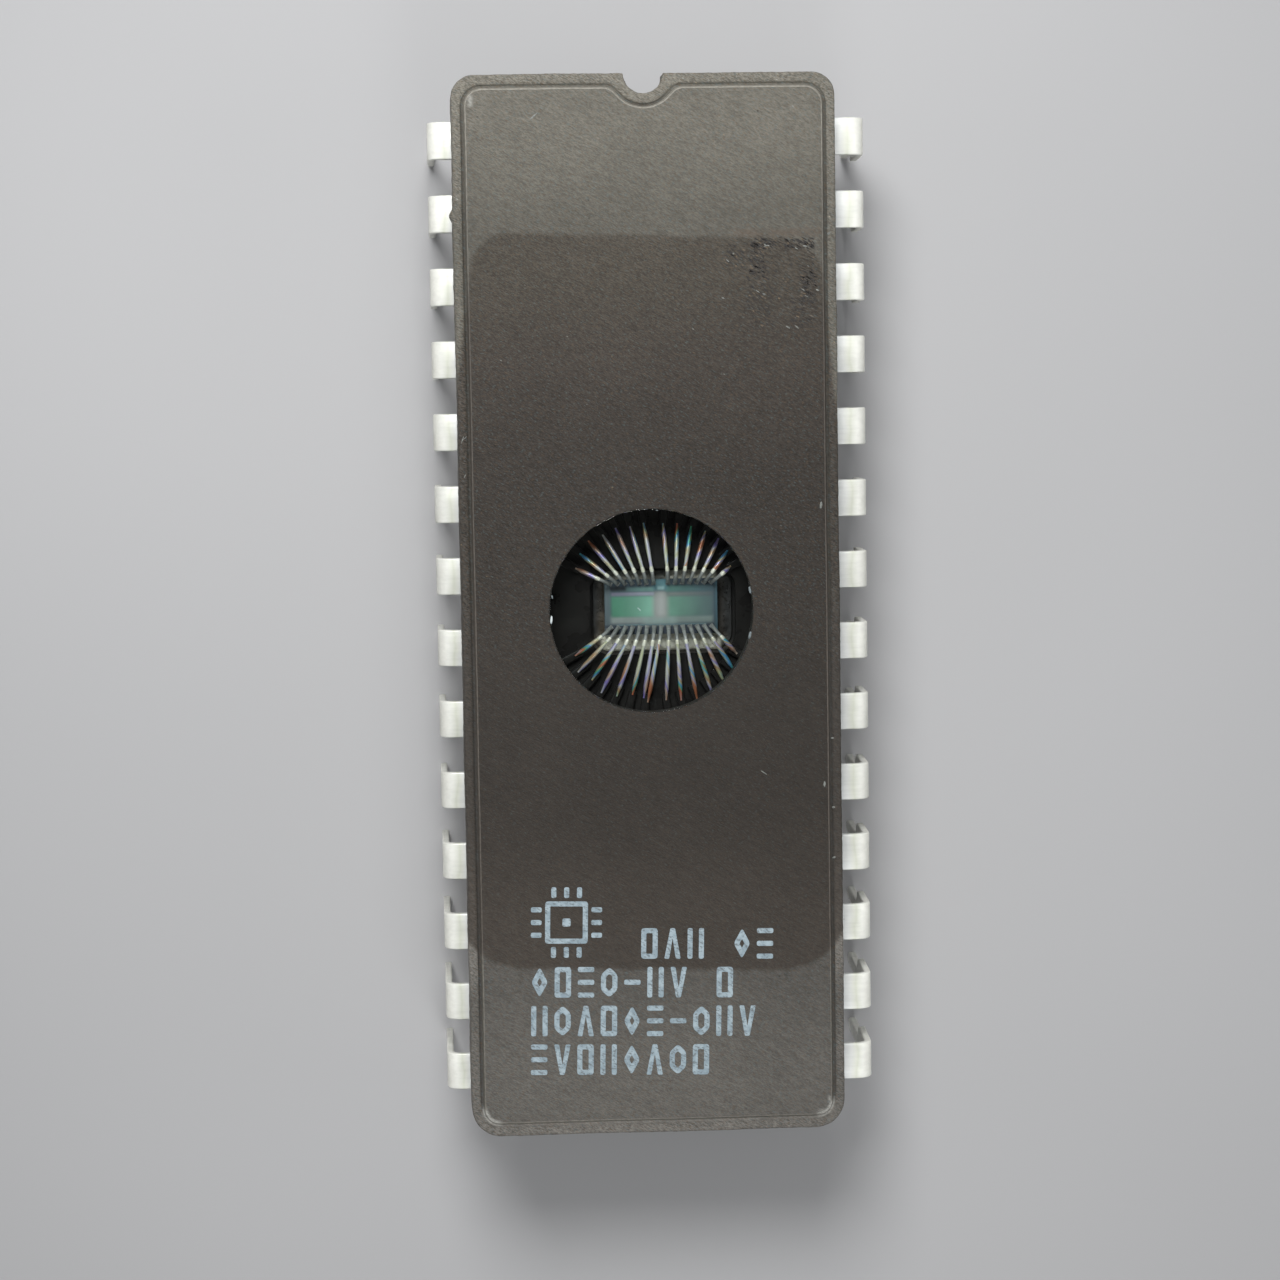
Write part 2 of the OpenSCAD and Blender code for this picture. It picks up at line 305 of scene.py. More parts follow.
class Form:
    """Points and faces of one piece, in millimetres, with a finish number for each face."""

    def __init__(self):
        self.points = []
        self.faces = []
        self.finishes = []

    def ring(self, points):
        start = len(self.points)
        self.points.extend(points)
        return list(range(start, len(self.points)))

    def level(self, loop, z):
        """A ring of (x, y) points at one height."""
        return self.ring([(x, y, z) for x, y in loop])

    def face(self, corners, finish=0):
        self.faces.append(tuple(corners))
        self.finishes.append(finish)

    def band(self, first, second, finish=0):
        for k in range(len(first)):
            self.face((first[k - 1], first[k], second[k], second[k - 1]), finish)

    def fan(self, ring, centre, finish=0):
        middle = self.ring([centre])[0]
        for k in range(len(ring)):
            self.face((ring[k - 1], ring[k], middle), finish)

    def bands(self, rings, finish=0):
        for first, second in zip(rings, rings[1:]):
            self.band(first, second, finish)

    def tube(self, rings, finishes=None):
        """Bands through the rings, each with its own finish, closed at both ends by a flat face."""
        finishes = finishes or [0] * len(rings)
        for first, second, finish in zip(rings, rings[1:], finishes):
            self.band(first, second, finish)
        self.face(rings[0], finishes[0])
        self.face(rings[-1], finishes[-1])


def shown(name, data):
    """A new object in the scene."""
    made = bpy.data.objects.new(name, data)
    bpy.context.scene.collection.objects.link(made)
    return made


def piece(name, form, finishes, replaces=(), sharp=35):
    """Makes the form an object that rides with the body, smooth but for edges over `sharp` degrees."""
    mesh = bpy.data.meshes.new(name)
    mesh.from_pydata(form.points, [], form.faces)
    for finish in finishes:
        mesh.materials.append(finish)
    mesh.polygons.foreach_set("material_index", form.finishes)
    work = bmesh.new()
    work.from_mesh(mesh)
    bmesh.ops.recalc_face_normals(work, faces=work.faces)
    work.to_mesh(mesh)
    work.free()
    mesh.transform(Matrix.Scale(MM, 4))
    mesh.shade_smooth()
    mesh.set_sharp_from_angle(angle=math.radians(sharp))
    made = shown(name, mesh)
    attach(made, BODY)
    if replaces:
        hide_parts(*replaces)
    return made


# Without a seed of its own, noise_vector gives other steps on each run
WANDER_SEED = 5
noise.seed_set(WANDER_SEED)


def wander(x, y, z, size, layer):
    """A smooth random step about 1 long at most, whose bumps are about `size` apart."""
    return noise.noise_vector(Vector((x / size, y / size, z / size + layer)))


# Materials


class Nodes:
    """Builds the shader nodes of a material or a world, from sockets and plain values.

    A colour may be three screen values from 0 to 255.
    """

    def __init__(self, owner):
        self.owner = owner
        owner.use_nodes = True
        self.tree = owner.node_tree
        self.tree.nodes.clear()

    def node(self, kind, *values, **named):
        """A new node. Values fill its inputs in order. Names in small letters are its settings,
        and the others are inputs, with a low line for a space."""
        made = self.tree.nodes.new("ShaderNode" + kind)
        for name, value in named.items():
            if name[0].islower():
                setattr(made, name, value)
            else:
                self.put(made.inputs[name.replace("_", " ")], value)
        for socket, value in zip(made.inputs, values):
            self.put(socket, value)
        return made

    def put(self, socket, value):
        if isinstance(value, bpy.types.NodeSocket):
            self.tree.links.new(value, socket)
        elif socket.type == "RGBA" and len(value) == 3:
            socket.default_value = linear(*value)
        else:
            socket.default_value = value

    def math(self, operation, a, b=0.0):
        return self.node("Math", a, b, operation=operation).outputs[0]

    def plus(self, a, b):
        return self.math("ADD", a, b)

    def minus(self, a, b):
        return self.math("SUBTRACT", a, b)

    def size(self, a):
        return self.math("ABSOLUTE", a)

    def any(self, *shares):
        """The largest of some shares."""
        return functools.reduce(lambda a, b: self.math("MAXIMUM", a, b), shares)

    def all(self, *shares):
        """The product of some shares."""
        return functools.reduce(lambda a, b: self.math("MULTIPLY", a, b), shares)

    def join(self, x, y, z=0.0):
        return self.node("CombineXYZ", x, y, z).outputs[0]

    def length(self, x, y):
        return self.node("VectorMath", self.join(x, y), operation="LENGTH").outputs["Value"]

    def any_ray(self, *kinds):
        """1 for rays of these kinds."""
        rays = self.node("LightPath").outputs
        return self.any(*(rays[f"Is {kind} Ray"] for kind in kinds))

    def fade(self, value, low, high, start=0.0, stop=1.0):
        """start where value is at most low, stop where it is at least high, and smooth between."""
        if low > high:
            low, high, start, stop = high, low, stop, start
        ends = (low, high, start, stop)
        return self.node("MapRange", value, *ends, interpolation_type="SMOOTHSTEP").outputs["Result"]

    def spread(self, value, start=0.0, stop=1.0):
        """A noise's usual reach, spread out from start to stop."""
        return self.fade(value, 0.3, 0.7, start, stop)

    def near(self, value, half, soft):
        """1 up to half, 0 further on, with a soft end."""
        return self.fade(value, half + soft, half - soft)

    def mix(self, share, a, b, how="MIX"):
        kinds = {"data_type": "RGBA", "blend_type": how, "clamp_factor": True}
        return self.node("Mix", **kinds, Factor=share, A=a, B=b).outputs["Result"]

    def tinted(self, colour, *tones):
        """The colour times some grey tones."""
        tone = self.all(*tones)
        return self.mix(1.0, colour, self.join(tone, tone, tone), "MULTIPLY")


class Finish(Nodes):
    """A material, with the place on the piece in millimetres."""

    def __init__(self, name):
        super().__init__(bpy.data.materials.new(name))
        place = self.node("TexCoord").outputs["Object"]
        self.mm = self.node("VectorMath", place, operation="SCALE", Scale=1 / MM).outputs[0]
        self.x, self.y, self.z = self.node("SeparateXYZ", self.mm).outputs

    def turned(self, degrees, *stretch):
        """The place in mm, turned about Z and then stretched along the turned axes."""
        turn = math.radians(degrees)
        turned = self.node("VectorRotate", rotation_type="Z_AXIS", Vector=self.mm, Angle=turn)
        return self.node("VectorMath", turned.outputs[0], stretch, operation="MULTIPLY").outputs[0]

    def noise(self, per_mm, detail=2.0, rough=0.5, at=None):
        sizes = {"Scale": per_mm, "Detail": detail, "Roughness": rough}
        return self.node("TexNoise", Vector=at or self.mm, **sizes).outputs["Fac"]

    def cloud(self, per_mm, detail=2.0, start=0.0, stop=1.0):
        return self.spread(self.noise(per_mm, detail), start, stop)

    def spots(self, per_mm, share, outer, inner, at=None):
        """Soft spots on a share of scattered points, with the distance to and a draw for the next."""
        cells = self.node("TexVoronoi", Vector=at or self.mm, Scale=per_mm).outputs
        draws = self.node("SeparateColor", cells["Color"]).outputs
        drawn = self.math("GREATER_THAN", draws[0], 1 - share)
        return self.all(self.fade(cells["Distance"], outer, inner), drawn), cells["Distance"], draws[1]

    def ramp(self, value, stops):
        """Colours at places from 0 to 1 along value."""
        node = self.node("ValToRGB", value)
        elements = node.color_ramp.elements
        while len(elements) < len(stops):
            elements.new(0.5)
        for element, (place, colour) in zip(elements, stops):
            element.position = place
            element.color = linear(*colour)
        return node.outputs["Color"]

    def bump(self, height, depth_mm):
        return self.node("Bump", Height=height, Distance=depth_mm * MM).outputs["Normal"]

    def shade(self, colour, roughness, normal=None, **more):
        if normal is not None:
            more["Normal"] = normal
        return self.node("BsdfPrincipled", Base_Color=colour, Roughness=roughness, **more).outputs[0]

    def done(self, shader):
        self.node("OutputMaterial", Surface=shader)
        return self.owner

    def coat(self, *surface, **more):
        """The finished material, with one plain surface."""
        return self.done(self.shade(*surface, **more))


# The trace that a cover sticker left on the lid, seen from the lid's middle. Its upper corners are
# tight and stand at the plateau's sides, and its lower corners are wide and run out over the rim.
TRACE_TOP_X = 0.03
TRACE_LOW_X = -0.17
TRACE_Y = 0.15
TRACE_SLOPE = math.tan(math.radians(1.8))
TRACE_HALF_L = 12.8
TRACE_TOP_HALF_W = 6.13
TRACE_TOP_CORNER = 1.5
TRACE_LOW_HALF_W = 7.2
TRACE_LOW_CORNER = 2.8

BARE_CERAMIC = (101, 98, 90)
LOW_CERAMIC = (96, 93, 88)
CLEAN_CERAMIC = (55, 50, 45)
UPPER_CLEAN = (55, 51, 45)
FLECK = (166, 168, 164)
WARM_FLECK = (168, 148, 116)
PIT = (30, 27, 25)
GRAIN_TURN = 28


def lid_place(f):
    """The place on the lid in mm from its middle."""
    return f.minus(f.x, LID_X), f.minus(f.y, LID_Y)


def past_corner(f, across, along):
    """Distance from a corner's centre, counted only past each of the two lines through it."""
    return f.length(f.any(across, 0.0), f.any(along, 0.0))


def trace_depth(f):
    """How far inside the sticker's trace a place on the lid is, in mm."""
    x, y = lid_place(f)
    y = f.minus(f.plus(y, f.all(x, TRACE_SLOPE)), TRACE_Y)
    x = f.size(f.minus(x, f.fade(y, 2.0, 12.0, TRACE_LOW_X, TRACE_TOP_X)))
    corner = f.fade(y, -6.0, 6.0, TRACE_LOW_CORNER, TRACE_TOP_CORNER)
    half_w = f.fade(y, 2.0, 12.0, TRACE_LOW_HALF_W, TRACE_TOP_HALF_W)
    across = f.plus(f.minus(x, half_w), corner)
    along = f.plus(f.minus(f.size(y), TRACE_HALF_L), corner)
    inner = f.math("MINIMUM", f.any(across, along), 0.0)
    return f.minus(corner, f.plus(past_corner(f, across, along), inner))


# Where the sticker's glue stayed: centre and half size of each patch from the lid's middle, and its share
GLUE_PATCHES = (
    (4.7, 12.6, 1.15, 0.25, 1.0),
    (5.6, 11.1, 0.3, 1.4, 0.8),
    (3.95, 11.4, 0.4, 1.2, 0.6),
    (4.7, 10.9, 1.6, 1.9, 0.35),
)
BROWN_BAND = (4.6, 13.0, 1.5, 0.12)
# Pale smears beside the plateau's corners, given the same way, each with its share
CORNER_SMEARS = (
    (-5.93, 17.6, 0.05, 0.2, 0.85),
    (6.04, -17.44, 0.02, 0.1, 1.0),
    (5.8, -17.85, 0.14, 0.03, 0.7),
)


def patch(f, x, y, half_w, half_l, soft):
    """1 inside a soft-edged upright rectangle about a place that is measured from the lid's middle."""
    across = f.size(f.minus(f.x, LID_X + x))
    along = f.size(f.minus(f.y, LID_Y + y))
    return f.all(f.near(across, half_w, soft), f.near(along, half_l, soft))


def corner_wear(f):
    """1 along the rubbed arcs of the plateau's lower corners, fading out along the straight edges."""
    x, y = lid_place(f)
    radius = PLATEAU_LOW_R
    across = f.minus(f.size(x), BODY_W / 2 - LAND_SIDE - radius)
    along = f.minus(LAND_END + radius - BODY_L / 2, y)
    reach = past_corner(f, across, along)
    on_arc = f.all(f.fade(reach, radius - 0.17, radius - 0.04), f.fade(reach, radius + 0.13, radius + 0.02))
    return f.all(on_arc, f.fade(across, -0.15, 0.15), f.fade(along, -0.15, 0.15))


def rim_tone(f):
    """The lid's rim is paler along the lower half of its sides, less so along the end without the notch and
    the upper half, and a little paler on the left.
    """
    x, y = lid_place(f)
    sides = f.all(f.fade(y, 12.0, -3.0, 1.03, 1.6), f.fade(y, -12.0, -14.0, 1.0, 0.57))
    return f.all(sides, f.fade(y, -17.5, -18.2, 1.0, 1.2), f.fade(x, -6.0, 6.0, 1.03, 0.98))


def groove_painted_light(f):
    """Painted light that lifts the groove's painted shade along the lid's two ends, most at the end without
    the notch.
    """
    y = lid_place(f)[1]
    return f.all(f.fade(y, -17.2, -17.9, 1.0, 2.5), f.fade(y, 17.4, 17.9, 1.0, 1.45))


def bare_colour(f, along):
    """The lid's bare ceramic, paler towards both ends, partly as painted light from the lamps at the ends
    and partly as residue near the trace's top, and a little darker to the right near the lower end, times
    the tone that `along` gives.
    """
    x, y = lid_place(f)
    colour = f.mix(f.fade(y, 1.0, -1.0), BARE_CERAMIC, LOW_CERAMIC)
    low = f.all(f.fade(y, -12.4, -16.5, 0.75, 1.0), f.fade(x, 1.5, 4.5, 1.0, 0.92), f.fade(y, 0.0, -1.0))
    return f.tinted(colour, f.any(f.fade(y, 12.6, 17.3, 0.72, 1.05), low), along(f))


def covered_colour(f):
    """The lid's ceramic where the sticker kept it clean, paler towards both ends as painted light, and a
    little paler to the left in its lower part.
    """
    x, y = lid_place(f)
    colour = f.mix(f.fade(y, 8.0, 12.0), CLEAN_CERAMIC, UPPER_CLEAN)
    colour = f.tinted(colour, f.fade(y, 3.5, 14.5, 0.75, 1.6), f.fade(y, -6.0, -13.5, 0.97, 1.75))
    return f.tinted(colour, f.fade(y, 3.0, 10.0, f.fade(x, -5.5, 3.0, 1.06, 0.97), 1.02))


def glued(f, colour, coarse, slant):
    """The colour under the glue's residue: a brown band, dark crumbs and a few pale ones."""
    band = f.all(patch(f, *BROWN_BAND, 0.12), f.fade(coarse, 0.3, 0.6))
    colour = f.mix(f.all(band, 0.4), colour, (88, 72, 60))
    patches = f.any(*(f.all(patch(f, *place, 0.3), share) for *place, share in GLUE_PATCHES))
    crumbs = f.noise(4.5, 3.0, 0.6, at=slant)
    colour = f.mix(f.all(patches, f.fade(crumbs, 0.5, 0.6), 0.85), colour, (40, 34, 31))
    return f.mix(f.all(patches, f.fade(crumbs, 0.38, 0.3), 0.6), colour, (120, 118, 110))


def ceramic(name, trace_share=0.0, fleck_share=0.1, shade=1.0, contrast=0.24, glue=False, along=None):
    """Pressed ceramic: fine slanting grain, mottle, tinted sparkles, pale flecks and dark pits.

    On the lid, `along` gives its tone from end to end, and the sticker's trace covers trace_share of it.
    """
    f = Finish(name)
    y = lid_place(f)[1]
    slant = f.turned(GRAIN_TURN, 1, 3.6, 1)
    grain = f.noise(8.5, 3.0, 0.7, at=slant)
    coarse = f.noise(2.2, 2.0, 0.5, at=slant)
    colour = BARE_CERAMIC
    swing = contrast
    tinge = 0.4
    if along:
        inside = f.fade(f.plus(trace_depth(f), f.cloud(2.5, 3.0, -0.03, 0.03)), -0.12, 0.12)
        colour = f.mix(f.all(inside, trace_share), bare_colour(f, along), covered_colour(f))
        covered_swing = f.fade(y, -4.5, 1.5, contrast * 0.85, contrast * 1.6)
        swing = f.fade(inside, 0.0, 1.0, contrast * 1.15, covered_swing)
        tinge = f.fade(inside, 0.0, 1.0, 0.45, f.fade(y, -4.5, 1.5, 0.17, 0.32))
    tone = f.plus(1.0, f.all(f.spread(grain, -1.0, 1.0), swing))
    colour = f.tinted(colour, tone, f.spread(coarse, 0.91, 1.09), f.cloud(0.35, 3.0, 0.95, 1.05), shade)
    tint = f.noise(7.5, 2.0, 0.5, at=f.turned(GRAIN_TURN + 4, 1, 2.4, 1))
    colour = f.mix(f.fade(tint, 0.56, 0.7, 0.0, tinge), colour, (90, 104, 106))
    colour = f.mix(f.fade(tint, 0.3, 0.44, tinge, 0.0), colour, (96, 78, 58))
    if glue:
        colour = glued(f, colour, coarse, slant)
    flecks, _, warm = f.spots(2.4, fleck_share, 0.13, 0.04, at=f.turned(GRAIN_TURN, 1, 2.2, 1))
    strength = f.fade(y, -5.0, 12.0, contrast * 0.35, contrast * 1.7)
    colour = f.mix(f.all(flecks, strength), colour, f.mix(f.fade(warm, 0.6, 0.8), FLECK, WARM_FLECK))
    colour = f.mix(f.all(f.spots(2.4, 0.1, 0.12, 0.05)[0], 0.5), colour, PIT)
    if along:
        smears = (f.all(patch(f, *place, 0.1), share) for *place, share in CORNER_SMEARS)
        rub = f.all(f.any(corner_wear(f), *smears), f.fade(grain, 0.3, 0.6, 0.45, 0.95))
        colour = f.mix(rub, colour, (170, 170, 164))
    relief = f.bump(f.plus(grain, f.all(coarse, 0.6)), 0.03)
    return f.coat(colour, f.fade(grain, 0.35, 0.65, 0.62, 0.5), relief, Specular_IOR_Level=0.22)


def edge_highlight_and_wear(name):
    """The plateau's rounded edge: painted paler than the faces as a painted highlight along it, palest
    towards the notch end and lifted along the other end as painted light, and rubbed paler still at its
    lower corners.
    """
    f = Finish(name)
    grain = f.noise(8.0, 3.0, 0.6)
    x, y = lid_place(f)
    low = f.all(f.fade(y, 0.0, -13.0, 0.0, 0.88), f.fade(y, -17.3, -17.8, 1.0, 1.2))
    low = f.all(low, f.fade(x, -3.0, 3.0, 1.05, 0.82))
    bare = f.tinted((114, 111, 103), f.any(f.fade(y, 12.6, 17.6, 0.75, 1.42), low))
    covered = f.tinted((78, 73, 67), f.fade(y, 4.0, -4.0, 1.08, 1.25))
    colour = f.mix(f.fade(trace_depth(f), -0.1, 0.1), bare, covered)
    colour = f.tinted(colour, f.spread(grain, 0.8, 1.2))
    colour = f.mix(f.all(corner_wear(f), f.fade(grain, 0.3, 0.6, 0.3, 0.8)), colour, (170, 168, 162))
    return f.coat(colour, 0.5, f.bump(grain, 0.02), Specular_IOR_Level=0.4)


# Colours over a lead, from beside the body out to the bend's end, as far as TIN_REACH beyond TIN_START: a
# darker olive stripe as painted shade where the bend starts, a cream painted highlight over the bend, and a
# grey painted shade at its far edge
TIN_START = 6.6
TIN_REACH = 1.2
TIN_TINTS = (
    (0.0, (222, 225, 224)),
    (0.22, (228, 230, 226)),
    (0.34, (220, 222, 212)),
    (0.41, (210, 213, 199)),
    (0.48, (220, 222, 212)),
    (0.60, (230, 231, 224)),
    (0.85, (230, 230, 221)),
    (1.0, (204, 204, 196)),
)


def tin():
    """Matt tin on the leads: bluish by the body, an olive stripe of painted shade before the bend, a cream
    painted highlight on the bend.
    """
    f = Finish("tin")
    lines = f.noise(7.0, 2.0, 0.6, at=f.turned(0, 0.12, 1, 1))
    patches = f.noise(1.3, 3.0)
    across = f.plus(f.minus(f.size(f.x), TIN_START), f.cloud(1.1, 2.0, -0.05, 0.05))
    colour = f.ramp(f.math("DIVIDE", across, TIN_REACH), TIN_TINTS)
    colour = f.tinted(colour, f.spread(patches, 0.95, 1.05))
    colour = f.tinted(colour, f.fade(lines, 0.35, 0.7, 1.02, 0.95))
    # Painted light: the leads are paler towards both ends of each row. Painted shade: the left row is a
    # little darker
    ends = f.all(f.fade(f.y, -4.0, -16.0, 1.0, 1.2), f.fade(f.y, 6.0, 15.0, 1.0, 1.12))
    colour = f.tinted(colour, ends, f.fade(f.x, -6.0, 6.0, 0.92, 1.0))
    colour = f.mix(f.all(f.spots(3.0, 0.05, 0.12, 0.05)[0], 0.35), colour, (150, 148, 140))
    normal = f.bump(f.plus(lines, patches), 0.005)
    return f.coat(colour, f.spread(lines, 0.42, 0.52), normal, Metallic=0.2)


def mottled(name, dark, light, per_mm, detail, rough, bump=0.0, **more):
    """A surface mottled between two tints, with a plain or a mottled roughness."""
    f = Finish(name)
    cloud = f.noise(per_mm, detail)
    if isinstance(rough, tuple):
        rough = f.spread(cloud, *rough)
    relief = f.bump(cloud, bump) if bump else None
    return f.coat(f.mix(f.spread(cloud), dark, light), rough, relief, **more)


def frit(name):
    """Dark sealing glass with fine bubbles."""
    f = Finish(name)
    cloud = f.noise(1.5, 3.0)
    bubbles = f.spots(5.0, 0.1, 0.16, 0.08)[0]
    colour = f.mix(f.spread(cloud), (28, 26, 25), (33, 31, 29))
    colour = f.mix(f.all(bubbles, 0.2), colour, (62, 61, 62))
    normal = f.bump(f.plus(f.noise(3.0, 2.0), bubbles), 0.004)
    return f.coat(colour, f.spread(cloud, 0.26, 0.34), normal, Specular_IOR_Level=0.2)


def sealed_land():
    """The base's face inside the package under a film of glass, painted paler in the fans under the fingers
    as painted light that lifts the shade they cast.
    """
    f = Finish("sealed land")
    aside = f.math("ARCTAN2", f.size(f.x), f.size(f.y))
    painted_light_in_fans = f.fade(aside, math.radians(70), math.radians(60))
    colour = f.mix(painted_light_in_fans, (30, 29, 28), (66, 62, 58))
    colour = f.tinted(colour, f.cloud(1.5, 3.0, 0.9, 1.1))
    return f.coat(colour, 0.55, f.bump(f.noise(4.0, 3.0), 0.01), Specular_IOR_Level=0.08)


def window_glass():
    """Clear glass that lets lamps and bounced light straight through."""
    f = Finish("window glass")
    glass = f.shade((248, 250, 250), 0.0, IOR=1.47, Transmission_Weight=1.0)
    clear = f.node("BsdfTransparent", Color=(244, 247, 247)).outputs[0]
    through = f.any_ray("Shadow", "Diffuse", "Glossy")
    return f.done(f.node("MixShader", through, glass, clear).outputs[0])


def bed_paste():
    """Fired die-attach: a beige porous layer along the die's long sides, dark at its ends as painted shade
    by the well's wall.
    """
    f = Finish("bed paste")
    cloud = f.noise(3.0, 4.0, 0.6)
    colour = f.mix(f.fade(cloud, 0.35, 0.65), (188, 182, 164), (224, 220, 204))
    past_end = f.minus(f.size(f.minus(f.x, DIE_X)), DIE_L / 2)
    past_end = f.minus(past_end, f.fade(f.y, die_low.y + 0.1, die_low.y - 0.1, 0.0, 0.15))
    # The ends are painted dark brown and then near black, as painted shade in the narrow trench by the
    # well's wall
    painted_end_shade = f.mix(f.fade(f.x, DIE_X - 1.0, DIE_X + 1.0), (60, 51, 40), (38, 32, 26))
    colour = f.mix(f.fade(past_end, -0.16, 0.04), colour, painted_end_shade)
    colour = f.mix(f.fade(past_end, 0.08, 0.36), colour, (16, 14, 12))
    # The upper half is dimmer, most in the middle and least to the right; just below the die the paste is
    # painted paler (up to 1.25) as painted light that lifts the wires' shade
    right = f.fade(f.x, DIE_X + 0.05, DIE_X + 0.5, 0.2, 0.95)
    upper = f.any(right, f.fade(f.x, DIE_X - 0.2, DIE_X - 0.6, 0.2, 0.5))
    lower = f.fade(f.y, die_low.y - 0.15, die_low.y - 0.5, 1.25, 1.0)
    colour = f.tinted(colour, f.any(upper, f.all(f.fade(f.y, DIE_Y, DIE_Y - 0.3), lower)))
    holes, pores, _ = f.spots(9.0, 0.6, 0.25, 0.1)
    colour = f.mix(f.all(holes, 0.4), colour, (74, 66, 52))
    return f.coat(colour, 0.62, f.bump(f.plus(cloud, f.fade(pores, 0.1, 0.3)), 0.03))


# Zones of the circuit: left, low, right and high edge as shares of the die's length and width, how
# soft the edges are in mm, the tints at the left and right end, and whether the zone stands proud
DIE_ZONES = (
    (0.0, 0.0, 1.0, 0.19, 0.05, (48, 56, 66), (44, 50, 60), False),
    (0.0, 0.87, 1.0, 1.0, 0.07, (52, 66, 76), (56, 66, 76), False),
    (0.0, 0.175, 0.055, 0.9, 0.06, (82, 94, 98), (82, 94, 98), False),
    (0.055, 0.20, 0.96, 0.34, 0.09, (134, 141, 138), (114, 127, 123), True),
    (0.34, 0.18, 0.64, 0.32, 0.14, (138, 154, 149), (130, 146, 141), False),
    (0.10, 0.165, 0.90, 0.185, 0.025, (104, 126, 130), (92, 116, 120), False),
    (0.06, 0.32, 0.45, 0.70, 0.08, (70, 123, 99), (119, 164, 145), True),
    (0.54, 0.32, 0.96, 0.70, 0.09, (98, 138, 120), (78, 96, 96), True),
    (0.43, 0.30, 0.56, 0.78, 0.14, (142, 144, 140), (140, 142, 138), True),
    (0.47, 0.34, 0.53, 0.76, 0.10, (154, 155, 152), (154, 155, 152), False),
    (0.06, 0.705, 0.44, 0.77, 0.045, (106, 104, 120), (142, 144, 156), True),
    (0.06, 0.78, 0.44, 0.86, 0.05, (60, 76, 82), (102, 136, 130), True),
    (0.56, 0.69, 0.96, 0.77, 0.08, (112, 117, 114), (82, 90, 92), False),
    (0.54, 0.77, 0.96, 0.88, 0.08, (80, 118, 110), (70, 90, 97), True),
    (0.43, 0.80, 0.56, 1.0, 0.10, (82, 118, 124), (82, 118, 124), True),
    (0.47, 0.81, 0.53, 0.87, 0.05, (132, 160, 160), (132, 160, 160), False),
    (0.05, 0.80, 0.19, 0.875, 0.07, (20, 24, 30), (24, 28, 34), False),
    (0.97, 0.02, 1.0, 0.97, 0.03, (56, 74, 82), (58, 84, 94), False),
    (0.01, 0.03, 0.045, 0.12, 0.04, (124, 126, 120), (124, 126, 120), False),
    (0.055, 0.03, 0.085, 0.11, 0.04, (14, 16, 20), (14, 16, 20), False),
    (0.885, 0.90, 0.925, 0.96, 0.04, (12, 14, 18), (12, 14, 18), False),
)
CELL_ROWS_PER_MM = 24


def silicon():
    """Coated silicon: soft tinted zones with fine rows of cells, under a milky sheen."""
    f = Finish("silicon circuit")
    along = f.math("DIVIDE", f.minus(f.x, die_low.x), DIE_L)
    up = f.math("DIVIDE", f.minus(f.y, die_low.y), DIE_W)

    def within(value, low, high, soft):
        return f.all(f.fade(value, low - soft, low + soft), f.near(value, high, soft))

    colour = (62, 74, 84)
    for left, low, right, high, soft, first, last, _ in DIE_ZONES:
        inside = f.all(within(along, left, right, soft / DIE_L), within(up, low, high, soft / DIE_W))
        tint = first if first == last else f.mix(f.fade(along, left, right), first, last)
        colour = f.mix(inside, colour, tint)
    rows = f.math("SINE", f.all(f.x, 2 * math.pi * CELL_ROWS_PER_MM))
    colour = f.tinted(colour, f.cloud(1.4, 2.0, 0.92, 1.08), f.fade(rows, -1.0, 1.0, 0.96, 1.04))
    return f.coat(colour, 0.4)


WIRE_SILVER = (200, 198, 196)
WIRE_PALE = (
    (0.0, WIRE_SILVER),
    (0.30, (188, 150, 118)),
    (0.36, WIRE_SILVER),
    (0.42, (180, 176, 206)),
    (0.47, (206, 206, 202)),
    (0.52, (188, 198, 158)),
    (0.57, WIRE_SILVER),
    (0.62, (150, 178, 206)),
    (0.67, (150, 194, 160)),
    (0.73, (196, 150, 124)),
    (0.80, WIRE_SILVER),
)
WIRE_STRONG = (
    (0.0, (180, 176, 170)),
    (0.32, (170, 96, 60)),
    (0.38, (190, 170, 150)),
    (0.43, (120, 104, 190)),
    (0.48, (190, 188, 186)),
    (0.53, (178, 130, 90)),
    (0.57, (170, 182, 140)),
    (0.62, (70, 140, 200)),
    (0.67, (72, 172, 130)),
    (0.73, (196, 92, 60)),
    (0.80, (186, 184, 182)),
)
DRIFT_START = 1.9
DRIFT_STOP = 2.8


def wire_metal():
    """Bright wire with a faint colour that drifts along it, stronger towards its outer end."""
    f = Finish("wire metal")
    angle = f.math("ARCTAN2", f.y, f.x)
    reach = f.length(f.x, f.y)
    drift = f.noise(1.0, 1.0, 0.5, at=f.join(f.all(angle, 8.0), f.all(reach, 0.5)))
    strong = f.fade(reach, DRIFT_START, DRIFT_STOP, 0.15, 0.9)
    colour = f.mix(strong, f.ramp(drift, WIRE_PALE), f.ramp(drift, WIRE_STRONG))
    return f.coat(colour, 0.35, Metallic=0.35)


def metal(name, dark, light, rough):
    """A small metal part."""
    return mottled(name, dark, light, 5.0, 2.0, rough, Metallic=0.2)


def crumb(name, dark, light):
    """A flake of dirt, glue or glass dust."""
    return mottled(name, dark, light, 12.0, 2.0, 0.55, 0.01)


def ink():
    """Pale blue-grey marking ink, thin enough for the ceramic's grain to break it up."""
    f = Finish("ink")
    grain = f.noise(8.0, 3.0, 0.65, at=f.turned(GRAIN_TURN, 1, 2.0, 1))
    colour = f.mix(f.cloud(4.0), (132, 149, 158), (160, 176, 184))
    colour = f.mix(f.fade(grain, 0.5, 0.66, 0.0, 0.75), colour, (84, 88, 88))
    return f.coat(colour, 0.6, f.bump(grain, 0.015))


